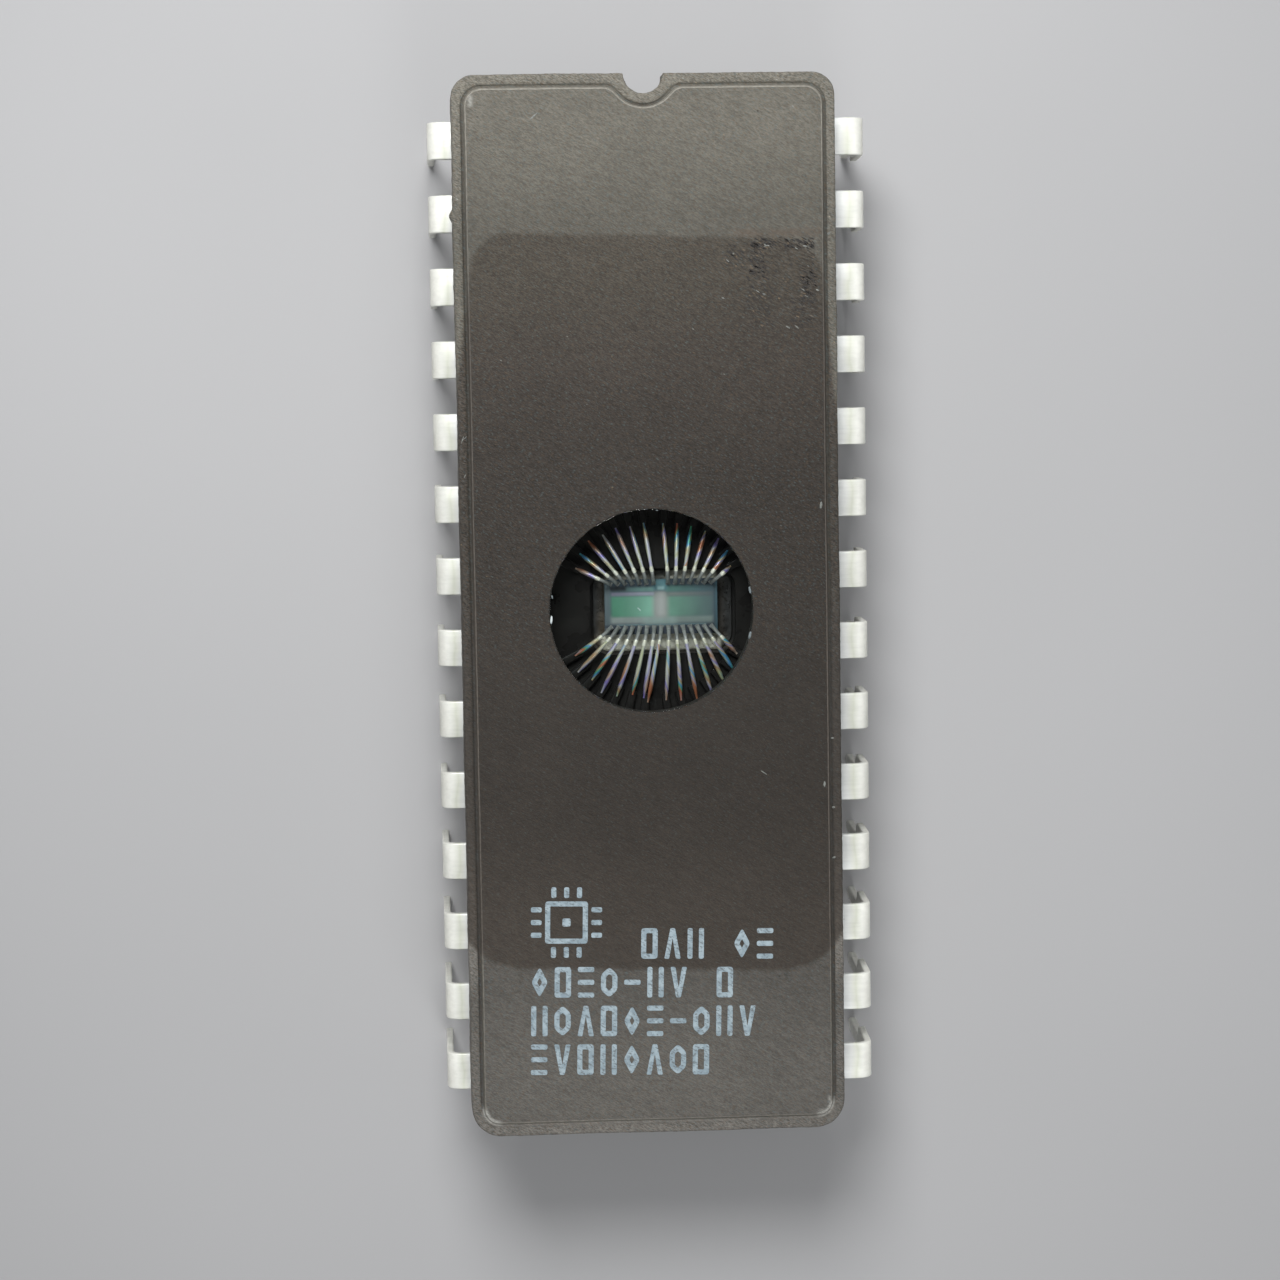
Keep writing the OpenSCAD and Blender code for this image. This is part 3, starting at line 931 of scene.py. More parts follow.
lid_face = ceramic("lid face", trace_share=1.0, fleck_share=0.06, glue=True, along=lambda f: 1.0)
lid_rim = ceramic("lid rim", trace_share=0.92, fleck_share=0.3, contrast=0.42, shade=1.2, along=rim_tone)
# The groove and the bore's wall under the window are painted darker (shade 0.6) as painted shade in the
# crease
lid_groove = ceramic("lid groove", trace_share=0.45, fleck_share=0.05, shade=0.6, along=groove_painted_light)
# The lid's roof and underside inside the package are painted near black (shade 0.11) as painted shade
lid_inside = ceramic("lid inside", fleck_share=0.0, contrast=0.1, shade=0.11)
lid_edge = edge_highlight_and_wear("lid edge")
base_face = ceramic("base ceramic", fleck_share=0.12, shade=0.85)
# The base's groove is painted darker (shade 0.45) as painted shade in the crease
base_groove = ceramic("base groove", fleck_share=0.05, shade=0.45)
tin_coat = tin()
# The frame inside the package is painted dark, as a painted reflection of the dark above it
finger_clad = mottled(
    "finger metal", (26, 24, 23), (31, 29, 27), 4.0, 3.0, (0.38, 0.48), Specular_IOR_Level=0.12
)
dark_frit = frit("sealing frit")
land_film = sealed_land()
clear_glass = window_glass()
paste = bed_paste()
circuit = silicon()
bright_wire = wire_metal()
# Painted shade on each wire's rise from its pad, and a painted highlight at the loop's top
wire_rise_shade = metal("wire rise shade", (128, 129, 126), (156, 157, 154), 0.5)
wire_apex_highlight = metal("wire apex highlight", (206, 202, 182), (228, 226, 212), 0.4)
pad_metal = metal("pad metal", (84, 90, 98), (104, 110, 114), 0.4)
marking_ink = ink()
dark_glue = crumb("dark glue", (15, 13, 12), (34, 29, 26))
brown_glue = crumb("brown glue", (72, 62, 50), (100, 86, 66))
pale_dust = crumb("pale dust", (96, 99, 96), (130, 133, 128))
# Bright flakes for the window's painted glints and for the die's scratch
bright_glint_and_scratch = crumb("bright glint and scratch", (180, 190, 192), (206, 214, 214))
# Flakes for the window's fainter painted glints
faint_glint = crumb("faint glint", (84, 92, 95), (112, 122, 125))


# Ceramic body

FACE, RIM, GROOVE, EDGE, INSIDE = range(5)
WAVE = 0.022
GRIT = 0.012
LID_LAYER = 3
BASE_LAYER = 11
QUARTER_TURNS = [math.radians(a) for a in (22.5, 45, 67.5, 90)]


def rounded(radius):
    """Steps round a quarter of an edge, each with how far in and how far below the top it is."""
    return [(radius * (1 - math.cos(a)), radius * (1 - math.sin(a))) for a in QUARTER_TURNS]


def groove_share(y):
    """How deep the groove is at y: filled up to a slope along the end without the notch."""
    low_end = LAND_END - BODY_L / 2
    t = min(max((y - low_end) / 0.9, 0.0), 1.0)
    return lerp(GROOVE_LOW_SHARE, 1.0, t)


def pressed_rings(height):
    """Each ring from the seal face over the rim to the plateau: outline, z, groove, raggedness, finish.

    The groove is how far the ring sinks below z where the groove is full, and the finish is that of
    the band that follows.
    """
    land = height - PLATEAU_H
    return [
        (edge_loop(-DRAFT + 0.03), 0.0, 0.0, 0.4, RIM),
        (edge_loop(-DRAFT), 0.03, 0.0, 1.0, RIM),
        (edge_loop(-DRAFT / 2), height / 2, 0.0, 0.8, RIM),
        (edge_loop(0.0), land - EDGE_ROUND, 0.0, 1.0, RIM),
        *((edge_loop(inset), land - drop, 0.0, 1.0, RIM) for inset, drop in rounded(EDGE_ROUND)),
        (edge_loop(0.15), land, 0.0, 0.5, RIM),
        (plateau_loop(-GROOVE_W), land, 0.0, 0.5, RIM),
        (plateau_loop(-GROOVE_W * 0.75), land, GROOVE_D * 0.4, 0.5, GROOVE),
        (plateau_loop(-GROOVE_W * 0.5), land, GROOVE_D, 0.5, GROOVE),
        (plateau_loop(-GROOVE_W * 0.2), land, GROOVE_D * 0.8, 0.5, EDGE),
        (plateau_loop(0.0), height - TOP_ROUND, 0.0, 0.5, EDGE),
        *(
            (plateau_loop(inset), height - drop, 0.0, 0.5, EDGE if drop else FACE)
            for inset, drop in rounded(TOP_ROUND)
        ),
        (plateau_loop(0.25), height, 0.0, 0.0, FACE),
    ]


# A thorn of ceramic that the press squeezed out of the lid's left edge
THORN_Y = 13.74
THORN_HALF = 0.24
THORN_OUT = 0.14


def thorn(point):
    """Pulls the lid's outer edge out to a point at the thorn's place."""
    x, y, z = point
    share = max(0.0, 1 - abs(y - THORN_Y) / THORN_HALF)
    if x > EDGE_ROUND * 2 - BODY_W / 2 or z < LID_H / 2:
        share = 0.0
    return (x - THORN_OUT * share, y, z)


def ragged(point, share, layer):
    """Moves a point of a pressed edge by slow waves and fine grit."""
    x, y, z = point
    slow = wander(x, y, 0.0, 2.6, layer) * (WAVE * share)
    fine = wander(x, y, z, 0.16, layer + 7) * (GRIT * share)
    return (x + slow.x + fine.x, y + slow.y + fine.y, z + fine.z * 0.6)


def pressed(form, rings, place, layer):
    """Adds the rings to the form, put in place by the function `place`, and gives them back."""
    made = []
    for loop, z, groove, share, finish in rings:
        points = [ragged((x, y, z - groove * groove_share(y)), share, layer) for x, y in loop]
        ring = form.ring([place(p) for p in points])
        if made:
            form.band(made[-1], ring, after)
        made.append(ring)
        after = finish
    return made


def lid():
    rings = pressed_rings(LID_H)
    edge = rings[-1][0]
    bore = circle_under(edge, WINDOW_R)
    roof = rounded_box_under(edge, ROOF_W, ROOF_W, ROOF_R)
    for share in (0.3, 0.65):
        loop = [between(a, b, share) for a, b in zip(edge, bore)]
        rings.append((loop, LID_H, 0.0, 0.0, FACE))
    rings += [
        (circle_under(edge, WINDOW_R + 0.08), LID_H, 0.0, 0.0, FACE),
        (circle_under(edge, WINDOW_R + BORE_ROUND), LID_H, 0.0, BORE_RAGGED, FACE),
        (bore, LID_H - BORE_ROUND, 0.0, BORE_RAGGED, GROOVE),
        (bore, ROOF_D, 0.0, 0.0, INSIDE),
        (roof, ROOF_D, 0.0, 0.0, INSIDE),
        (roof, 0.0, 0.0, 0.0, INSIDE),
    ]

    def place(p):
        x, y, z = thorn(p)
        return (x + LID_X, y + LID_Y, z + LID_SEAL)

    form = Form()
    made = pressed(form, rings, place, LID_LAYER)
    form.band(made[-1], made[0], INSIDE)
    finishes = [lid_face, lid_rim, lid_groove, lid_edge, lid_inside]
    piece("lid_pressed", form, finishes, ["ceramic_lid"])


def base():
    """The base, upside down, with the die's well in its seal face."""
    rings = pressed_rings(BASE_H)

    def place(p):
        return (p[0], p[1], BASE_SEAL - p[2])

    form = Form()
    made = pressed(form, rings, place, BASE_LAYER)
    form.fan(made[-1], place((0, 0, BASE_H)), FACE)
    well = rounded_box_under(rings[0][0], WELL_L, WELL_W, WELL_R, WELL_X, WELL_Y)
    reach = [1 + WELL_ROUND / math.hypot(x, y) for x, y in well]
    rim = form.level([(x * r, y * r) for (x, y), r in zip(well, reach)], BASE_SEAL)
    floor = form.level(well, BED_Z)
    form.bands([made[0], rim, form.level(well, BASE_SEAL - WELL_ROUND), floor], INSIDE)
    form.fan(floor, (WELL_X, WELL_Y, BED_Z), INSIDE)
    finishes = [base_face, base_face, base_groove, base_face, land_film]
    piece("base_pressed", form, finishes, ["ceramic_base"])


# Glass

PANE_N = 360
PANE_GAP = 0.004
PANE_ROUND = 0.012
PANE_DROP = 0.6


def window_pane():
    """The pane, a hair inside its bore, with its upper edge rounded by the fusing."""
    form = Form()
    x, y, _ = (pane_low + pane_high) / 2
    outer = WINDOW_R - PANE_GAP
    steps = [(outer, pane_low.z)]
    for inset, drop in [(0.0, PANE_ROUND)] + rounded(PANE_ROUND):
        steps.append((outer - inset, LID_TOP - drop * PANE_DROP))
    rings = [form.level(arc(x, y, radius, 0, 360, PANE_N), z) for radius, z in steps]
    form.bands(rings)
    form.fan(rings[0], (x, y, pane_low.z))
    form.fan(rings[-1], (x, y, LID_TOP))
    piece("window_pane", form, [clear_glass], ["window_glass"])


# Leads


def lead_side(i):
    return -1 if i <= HALF_N else 1


def lead_y(i):
    if i <= HALF_N:
        return LEAD_PITCH * ((HALF_N + 1) / 2 - i)
    return LEAD_PITCH * (i - (3 * HALF_N + 1) / 2)


def lead_end(i):
    return 1 if lead_y(i) > 0 else -1


def lead_rank(i):
    return round(abs(lead_y(i)) / LEAD_PITCH + 0.5)


def tip_way(i):
    angle = math.radians(FIRST_ANGLE + ANGLE_STEP * (QUARTER_N - lead_rank(i)))
    return Vector((math.sin(angle), math.cos(angle)))


LEAD_EDGE = 0.055
LEAD_WAVE = 0.008
CORNER_STEPS = 4
UP = Vector((0, 0, 1))
ALONG = Vector((0, 1, 0))


def section(centre, across, up, width):
    """A ring round one section of a lead: a rectangle with rounded corners."""
    points = []
    for quarter in range(4):
        sa = 1 if quarter in (0, 3) else -1
        su = 1 if quarter in (0, 1) else -1
        for step in range(CORNER_STEPS):
            a = math.radians(90 * (quarter + step / (CORNER_STEPS - 1)))
            u = sa * (width / 2 - LEAD_EDGE) + LEAD_EDGE * math.cos(a)
            v = su * (LEAD_T / 2 - LEAD_EDGE) + LEAD_EDGE * math.sin(a)
            points.append(centre + across * u + up * v)
    return points


def flat_sections(i):
    """Sections of the inner finger, from its tip to the start of the shoulder."""
    y = abs(lead_y(i))
    way = tip_way(i)
    spots = [way * TIP_R, way * KNEE_R, Vector((NECK_X - NECK_RUN, y)), Vector((NECK_X - NECK_GAP, y))]
    ways = [(b - a).normalized() for a, b in zip(spots, spots[1:])]
    ways = [ways[0], *ways, ways[-1]]
    made = []
    for spot, width, before, after in zip(spots, (TIP_W, KNEE_W, FINGER_W, NECK_W), ways, ways[1:]):
        heading = (before + after).normalized()
        across = Vector((-heading.y, heading.x, 0)) / heading.dot(after)
        made.append((Vector((*spot, LEAD_MIDDLE)), across, UP, width))
    return made


def outer_sections(i):
    """Sections of the shoulder, the bend, the leg and the pin."""
    y = abs(lead_y(i))
    made = []
    for k in range(7):
        made.append((Vector((lerp(NECK_X, BEND_X, k / 6), y, LEAD_MIDDLE)), ALONG, UP, LEAD_W))
    for k in range(1, 13):
        a = lerp(math.pi / 2, SPLAY, k / 12)
        out = Vector((math.cos(a), 0, math.sin(a)))
        knee = Vector((BEND_X, y, BEND_Z)) + out * (BEND_R + LEAD_T / 2)
        made.append((knee, ALONG, out, LEAD_W))
    down = Vector((math.sin(SPLAY), 0, -math.cos(SPLAY)))
    seat = BEND_Z - SEAT_Z
    leg = (seat - SHOULDER_TAPER, LEAD_W, 5)
    stages = (leg, (seat, PIN_W, 4), (BEND_Z - POINT_H, PIN_W, 4), (BEND_Z, POINT_W, 3))
    depth, width = 0.0, LEAD_W
    for stop, stop_width, count in stages:
        for k in range(1, count + 1):
            place = knee + down * lerp(depth, stop, k / count)
            made.append((place, ALONG, out, lerp(width, stop_width, k / count)))
        depth, width = stop, stop_width
    return made


def lead(i):
    form = Form()
    flat = flat_sections(i)
    outer = outer_sections(i)
    rings = []
    for part in flat + outer:
        points = []
        for p in section(*part):
            if p.x > BODY_W / 2:
                p += wander(p.x, p.y, p.z, 0.5, i) * LEAD_WAVE
            points.append((p.x * lead_side(i), p.y * lead_end(i), max(p.z, 0.0)))
        rings.append(form.ring(points))
    form.tube(rings, [1] * len(flat) + [0] * len(outer))
    name = f"{i:02d}"
    piece("tinned_lead_" + name, form, [tin_coat, finger_clad], ["lead_" + name])


# Die and wires


def pad_place(end, k):
    inset = PAD_INSET_TOP if end > 0 else PAD_INSET_LOW
    return Vector((DIE_X + (k - HALF_N / 2) * PAD_PITCH, DIE_Y + end * (DIE_W / 2 - inset)))


def pad_number(i):
    return lead_rank(i) - 1 if lead_side(i) < 0 else HALF_N + 1 - lead_rank(i)


def landing(i, aside=0.0, out=0.0):
    way = tip_way(i)
    way = Vector((lead_side(i) * way.x, lead_end(i) * way.y))
    reach = BOND_R + way.x * BOND_X + way.y * BOND_Y + LANDING_OUT[i - 1] + out
    return way * reach + Vector((aside, 0))


DIE_BEVEL = 0.004
BLOCK_H = 0.003
PAD_HALF = 0.06


def slab(form, x0, y0, x1, y1, z0, z1, bevel):
    """A block between two corners, with its upper edges set in by `bevel`."""
    rings = []
    for inset, z in ((0.0, z0), (0.0, z1 - bevel), (bevel, z1)):
        rings.append(form.level(rectangle(x0 + inset, y0 + inset, x1 - inset, y1 - inset), z))
    form.tube(rings)


def raised(form, *corners):
    """A thin raised part of the circuit."""
    slab(form, *corners, DIE_TOP, DIE_TOP + BLOCK_H, BLOCK_H / 2)


def die():
    form = Form()
    slab(form, *die_low.xy, *die_high.xy, DIE_Z, DIE_TOP, DIE_BEVEL)
    piece("die_slab", form, [circuit], ["silicon_die"])
    form = Form()
    for left, low, right, high, soft, _, _, proud in DIE_ZONES:
        if proud:
            x0, x1 = (lerp(die_low.x, die_high.x, share) for share in (left, right))
            y0, y1 = (lerp(die_low.y, die_high.y, share) for share in (low, high))
            raised(form, x0 + soft, y0 + soft, x1 - soft, y1 - soft)
    piece("die_circuit", form, [circuit])
    form = Form()
    for end in (1, -1):
        for k in range(HALF_N + 1):
            if end < 0 or k != QUARTER_N:
                x, y = pad_place(end, k)
                raised(form, x - PAD_HALF, y - PAD_HALF, x + PAD_HALF, y + PAD_HALF)
    piece("die_pads", form, [pad_metal])


BED_LAYER = 21
BED_LOOPS = 14
BED_POINTS = 240
BED_EDGE = 0.02
BED_THICK = 0.06
BED_LEAST = 0.015
BED_FILLET = 0.12
# The paste's lumps: how many per mm, and how high
BED_LUMPS = ((2.2, 0.05), (7, 0.02))


def die_bed():
    """The fired paste: uneven, thick beside the die's long sides, with a fillet up its foot."""
    form = Form()
    around = arc(0, 0, 1, 0, 360, BED_POINTS)
    size = bed_high - bed_low
    outer = rounded_box_under(around, size.x, size.y, WELL_R - 0.1, WELL_X, WELL_Y)
    inner = rounded_box_under(around, DIE_L - 0.1, DIE_W - 0.1, 0.05, DIE_X, DIE_Y)

    def lift(x, y, t):
        lump = sum(noise.noise(Vector((x * often, y * often, BED_LAYER))) * h for often, h in BED_LUMPS)
        return BED_THICK + lump * math.sin(math.pi * min(t * 1.2, 1.0)) + BED_FILLET * t ** 4

    rings = [form.level(outer, BED_Z), form.level(outer, BED_Z + BED_EDGE)]
    for k in range(1, BED_LOOPS):
        t = k / (BED_LOOPS - 1)
        spots = [between(a, b, t) for a, b in zip(outer, inner)]
        rings.append(form.ring([(x, y, BED_Z + max(lift(x, y, t), BED_LEAST)) for x, y in spots]))
    form.bands(rings)
    form.fan(rings[0], (WELL_X, WELL_Y, BED_Z))
    form.fan(rings[-1], (DIE_X, DIE_Y, DIE_Z + 0.1))
    piece("die_bed", form, [paste], ["die_attach"])


WIRE_SIDES = 10
RISE_STEPS = 12
FALL_STEPS = 30
WIRE_H = 0.018
WIRE_TAIL = 0.05
FOOT_RUN = 0.15
APEX_RUN = 0.52
APEX_RISE = 0.66
# Half length of the loop's top that takes the painted highlight; the wire also swells there
BEAD_HALF = 0.07
BEAD_SWELL = 0.012
# Half width along a wire: by share of its length from the pad, seen thickened by its own glare
WIRE_SHAPE = ((0.0, 0.08), (0.15, 0.062), (0.35, 0.06), (0.62, 0.078), (0.85, 0.074), (1.0, 0.03))
WIRE_SHADED, WIRE_HIGHLIGHT, WIRE_BRIGHT = range(3)


def bezier(a, b, c, d, steps):
    """Points of a cubic curve from a up to but not with d."""
    points = []
    for k in range(steps):
        t = k / steps
        u = 1 - t
        points.append(a * u ** 3 + b * (3 * u * u * t) + c * (3 * u * t * t) + d * t ** 3)
    return points


def stepped(table, share):
    """The value at share, between the pairs of a table of (share, value)."""
    for (s0, v0), (s1, v1) in zip(table, table[1:]):
        if share <= s1:
            return lerp(v0, v1, (share - s0) / (s1 - s0))
    return table[-1][1]


def wire(form, pad, land):
    """One wire: a flat wedge foot, a quick rise to the loop's top, a long fall and another foot."""
    run = (land - pad).length
    way = ((land - pad) / run).to_3d()
    side = Vector((-way.y, way.x, 0))
    start = Vector((*pad, DIE_TOP + BLOCK_H + WIRE_H))
    stop = Vector((*land, FINGER_TOP + WIRE_H))
    apex = start + way * APEX_RUN + UP * APEX_RISE
    rest = run - APEX_RUN
    centres = [start - way * WIRE_TAIL]
    centres += bezier(start, start + way * 0.1 + UP * 0.3, apex - way * 0.28, apex, RISE_STEPS)
    centres += bezier(apex, apex + way * rest * 0.35, stop - way * rest * 0.3 + UP * 0.1, stop, FALL_STEPS)
    centres += [stop, stop + way * WIRE_TAIL]
    rings = []
    finishes = []
    for before, centre, after in zip(centres[:1] + centres, centres, centres[1:] + centres[-1:]):
        rise = side.cross((after - before).normalized())
        rise = rise if rise.z >= 0 else -rise
        along = (centre - start).dot(way)
        past = along - APEX_RUN
        wide = stepped(WIRE_SHAPE, min(max(along / run, 0.0), 1.0))
        wide += BEAD_SWELL * max(0.0, 1 - (past / (BEAD_HALF * 1.5)) ** 2)
        flat = max(0.0, 1 - min(abs(along), abs(run - along)) / FOOT_RUN)
        tall = lerp(wide, WIRE_H, flat)
        spokes = arc(0, 0, 1, 0, 360, WIRE_SIDES)
        rings.append(form.ring([centre + side * (wide * c) + rise * (tall * s) for c, s in spokes]))
        # Before the loop's top the wire takes the painted shade, and at its top the painted highlight
        foot_side = WIRE_SHADED if past < 0 else WIRE_BRIGHT
        finishes.append(WIRE_HIGHLIGHT if abs(past) < BEAD_HALF else foot_side)
    form.tube(rings, finishes)


def wires(first, last):
    form = Form()
    for i in range(first, last + 1):
        pad, next_pad = (pad_place(lead_end(i), pad_number(i) + k) for k in (0, 1))
        if i == DOUBLE_LEAD:
            wire(form, pad, landing(i, -DOUBLE_SPACE / 2))
            wire(form, next_pad, landing(i, DOUBLE_SPACE / 2, DOUBLE_STEP))
        else:
            wire(form, pad, landing(i))
    name = f"{first:02d}_{last:02d}"
    finishes = [wire_rise_shade, wire_apex_highlight, bright_wire]
    piece("wire_loops_" + name, form, finishes, ["bond_wires_" + name], 80)


# Marking

PRINT_TURN = math.radians(-1.4)
PRINT_X = -4.42
PRINT_Y = -12.44
PRINT_ROW = 1.38
PRINT_H = 1.09
SIGN_W = 0.58
SIGN_STEP = 0.815
STROKE = 0.18
INK_H = 0.008
INK_SUNK = 0.004

# Outlines of the plain signs, from -1 to 1 across and up, anticlockwise
SIGNS = {
    "lozenge": ((0, -1), (1, 0), (0, 1), (-1, 0)),
    "hexagon": ((0, -1), (1, -0.5), (1, 0.5), (0, 1), (-1, 0.5), (-1, -0.5)),
    "box": ((-1, -1), (1, -1), (1, 1), (-1, 1)),
}
# The same for open chevrons, which are drawn solid
CHEVRONS = {
    "up": ((-1, -1), (-0.4, -1), (0, 0.35), (0.4, -1), (1, -1), (0.28, 1), (-0.28, 1)),
    "down": ((1, 1), (0.4, 1), (0, -0.35), (-0.4, 1), (-1, 1), (-0.28, -1), (0.28, -1)),
}


def print_place(x, y):
    """A point of the marking, from its upper left corner, on the lid."""
    c, s = math.cos(PRINT_TURN), math.sin(PRINT_TURN)
    return (LID_X + PRINT_X + x * c - y * s, LID_Y + PRINT_Y + x * s + y * c)


def placed(shape, x, y, width, height):
    """A shape's corners about (x, y), at its full size."""
    return [Vector((x + a * width / 2, y + b * height / 2)) for a, b in shape]


def shrunk(corners, inset):
    """An anticlockwise outline of straight sides, moved inwards by inset."""
    made = []
    for before, here, after in zip(corners[-1:] + corners, corners, corners[1:] + corners[:1]):
        first = (here - before).normalized().orthogonal()
        second = (after - here).normalized().orthogonal()
        made.append(here + (first + second) * (inset / (1 + first.dot(second))))
    return made


def softened(corners, radius, count=4):
    """The outline with each corner rounded off over `radius` of both its sides."""
    points = []
    for before, here, after in zip(corners[-1:] + corners, corners, corners[1:] + corners[:1]):
        ways = (before - here, after - here)
        start, end = (here + way.normalized() * min(radius, way.length * 0.45) for way in ways)
        points += [*rounding(start, here, end, count), tuple(end)]
    return points


def inked(form, *loops):
    """A filled shape from one loop, or a frame from an outer and an inner loop."""
    low, high = [], []
    for loop in loops:
        spots = [print_place(x, y) for x, y in loop]
        low.append(form.level(spots, LID_TOP - INK_SUNK))
        high.append(form.level(spots, LID_TOP + INK_H))
        form.band(low[-1], high[-1])
    for rings in (low, high):
        if len(rings) == 1:
            form.face(rings[0])
        else:
            form.band(*rings)


def outline(form, shape, *place):
    """A sign drawn as the outline of a plain shape."""
    corners = placed(shape, *place)
    inked(form, softened(corners, 0.12), softened(shrunk(corners, STROKE), 0.04))


def bar(form, *place):
    inked(form, softened(placed(SIGNS["box"], *place), 0.07))


def sign(form, kind, x, y):
    """Draws one sign about (x, y)."""
    if kind == "dash":
        bar(form, x, y, SIGN_W, STROKE)
    elif kind == "bars":
        for side in (-1, 1):
            bar(form, x + side * (SIGN_W - STROKE) / 2, y, STROKE, PRINT_H)
    elif kind == "steps":
        for step in (-1, 0, 1):
            bar(form, x, y + step * (PRINT_H - STROKE) / 2, SIGN_W, STROKE)
    elif kind in CHEVRONS:
        inked(form, softened(placed(CHEVRONS[kind], x, y, SIGN_W, PRINT_H), 0.05))
    elif kind in SIGNS:
        outline(form, SIGNS[kind], x, y, SIGN_W, PRINT_H)


# The rows of signs: how far in each starts, its number below the first, and its signs
SIGN_ROWS = (
    (3.85, -1, ("box", "up", "bars", "space", "lozenge", "steps")),
    (0.0, 0, ("lozenge", "box", "steps", "hexagon", "dash", "bars", "down", "space", "box")),
    (0.0, 1, ("bars", "hexagon", "up", "box", "lozenge", "steps", "dash", "hexagon", "bars", "down")),
    (0.0, 2, ("steps", "down", "box", "bars", "lozenge", "up", "hexagon", "box")),
)
CHIP_SIGN_X, CHIP_SIGN_Y, CHIP_SIGN_W = 1.22, 1.58, 1.5
CHIP_PIN, CHIP_PIN_STEP, CHIP_PIN_SPACE = 0.38, 0.45, 0.12
CHIP_DOT = STROKE * 1.6


def marking():
    """Four rows of plain signs, and the outline of a chip with its pins and a dot."""
    form = Form()
    for left, row, kinds in SIGN_ROWS:
        for k, kind in enumerate(kinds):
            sign(form, kind, left + SIGN_W / 2 + k * SIGN_STEP, -row * PRINT_ROW - PRINT_H / 2)
    x, y = CHIP_SIGN_X, CHIP_SIGN_Y
    outline(form, SIGNS["box"], x, y, CHIP_SIGN_W, CHIP_SIGN_W)
    bar(form, x, y, CHIP_DOT, CHIP_DOT)
    reach = CHIP_SIGN_W / 2 + CHIP_PIN_SPACE + CHIP_PIN / 2
    for k in (-1, 0, 1):
        for side in (-1, 1):
            bar(form, x + side * reach, y + k * CHIP_PIN_STEP, CHIP_PIN, STROKE)
            bar(form, x + k * CHIP_PIN_STEP, y + side * reach, STROKE, CHIP_PIN)
    piece("plain_marking", form, [marking_ink])


# Dirt


def flake(form, place, z, length, width, turn, height, finish=0):
    """A thin flake with eight sides, its long axis turned by `turn` degrees from +X."""
    turned = Matrix.Rotation(math.radians(turn), 2)
    spokes = [turned @ Vector((c * length / 2, s * width / 2)) for c, s in arc(0, 0, 1, 0, 360, 8)]
    low = form.level([s + Vector(place) for s in spokes], z)
    high = form.level([s * 0.7 + Vector(place) for s in spokes], z + height)
    form.tube([low, high], [finish])


# Strokes of glue: centre and half size of each field from the lid's middle, and their number
GLUE_FIELDS = (
    (4.05, 12.63, 0.42, 0.17, 54),
    (5.28, 12.62, 0.5, 0.17, 50),
    (3.84, 12.05, 0.26, 0.42, 60),
    (3.9, 11.0, 0.4, 0.7, 40),
    (5.62, 11.15, 0.26, 0.55, 80),
    (5.7, 12.2, 0.12, 0.4, 14),
    (3.97, 10.4, 0.45, 0.6, 34),
    (3.05, 12.2, 0.35, 0.4, 34),
    (5.4, 10.2, 0.4, 0.5, 30),
    (4.8, 11.4, 0.5, 0.8, 12),
)
GLUE_SEED = 7
STROKE_TURN = -30
FLAKE_SUNK = 0.003


def glue_strokes():
    """Slanting strokes of hardened glue that stayed where the sticker's corner was."""
    form = Form()
    rng = random.Random(GLUE_SEED)
    for x, y, half_w, half_l, count in GLUE_FIELDS:
        for _ in range(count):
            place = (LID_X + x + rng.uniform(-half_w, half_w), LID_Y + y + rng.uniform(-half_l, half_l))
            draw = rng.random()
            finish = 0 if draw < 0.86 else 1 if draw < 0.975 else 2
            length = rng.uniform(0.07, 0.24) * (0.8 if finish else 1.0)
            width = rng.uniform(0.03, 0.06)
            turn = STROKE_TURN + rng.uniform(-12, 12)
            flake(form, place, LID_TOP - FLAKE_SUNK, length, width, turn, 0.012, finish)
    piece("glue_strokes", form, [dark_glue, brown_glue, pale_dust])


# Pale specks on the lid's top, from the lid's middle: x, y, length, width and turn
LID_SPECKS = (
    (5.5, 12.52, 0.18, 0.07, -20),
    (5.2, 12.45, 0.15, 0.04, -30),
    (4.15, 12.55, 0.16, 0.05, 20),
    (5.92, 11.01, 0.14, 0.06, -25),
    (4.88, 9.75, 0.18, 0.06, -35),
    (5.19, 9.75, 0.20, 0.045, -40),
    (4.06, 10.9, 0.13, 0.06, -20),
    (2.64, 10.78, 0.12, 0.055, -20),
    (5.96, 3.58, 0.26, 0.1, 85),
    (5.98, -6.2, 0.22, 0.09, 88),
    (3.85, -5.75, 0.3, 0.04, -35),
    (-3.78, 17.05, 0.38, 0.065, 43),
)
# Pale specks and fibres on the lid's rim
RIM_SPECKS = (
    (6.3, -7.05, 0.12, 0.08, 0),
    (6.3, -8.83, 0.14, 0.08, 20),
    (6.28, -4.6, 0.12, 0.07, 0),
    (6.35, 12.95, 0.12, 0.08, 10),
    (-6.44, 6.05, 0.30, 0.035, 70),
    (-6.36, 6.1, 0.22, 0.03, 40),
    (-6.38, 4.8, 0.2, 0.03, 60),
)
# Painted glints round the window's edge, drawn as small bright flakes
WINDOW_GLINTS = (
    (-3.49, -0.24, 0.30, 0.08, 86),
)
# Fainter painted glints round the window's edge
FAINT_GLINTS = (
    (-3.45, 0.56, 0.14, 0.06, 99),
    (3.42, -0.91, 0.28, 0.10, 75),
    (3.44, 0.67, 0.26, 0.09, 101),
    (0.24, 3.50, 0.10, 0.04, -4),
)
DIE_SCRATCH = (0.31, 0.45)


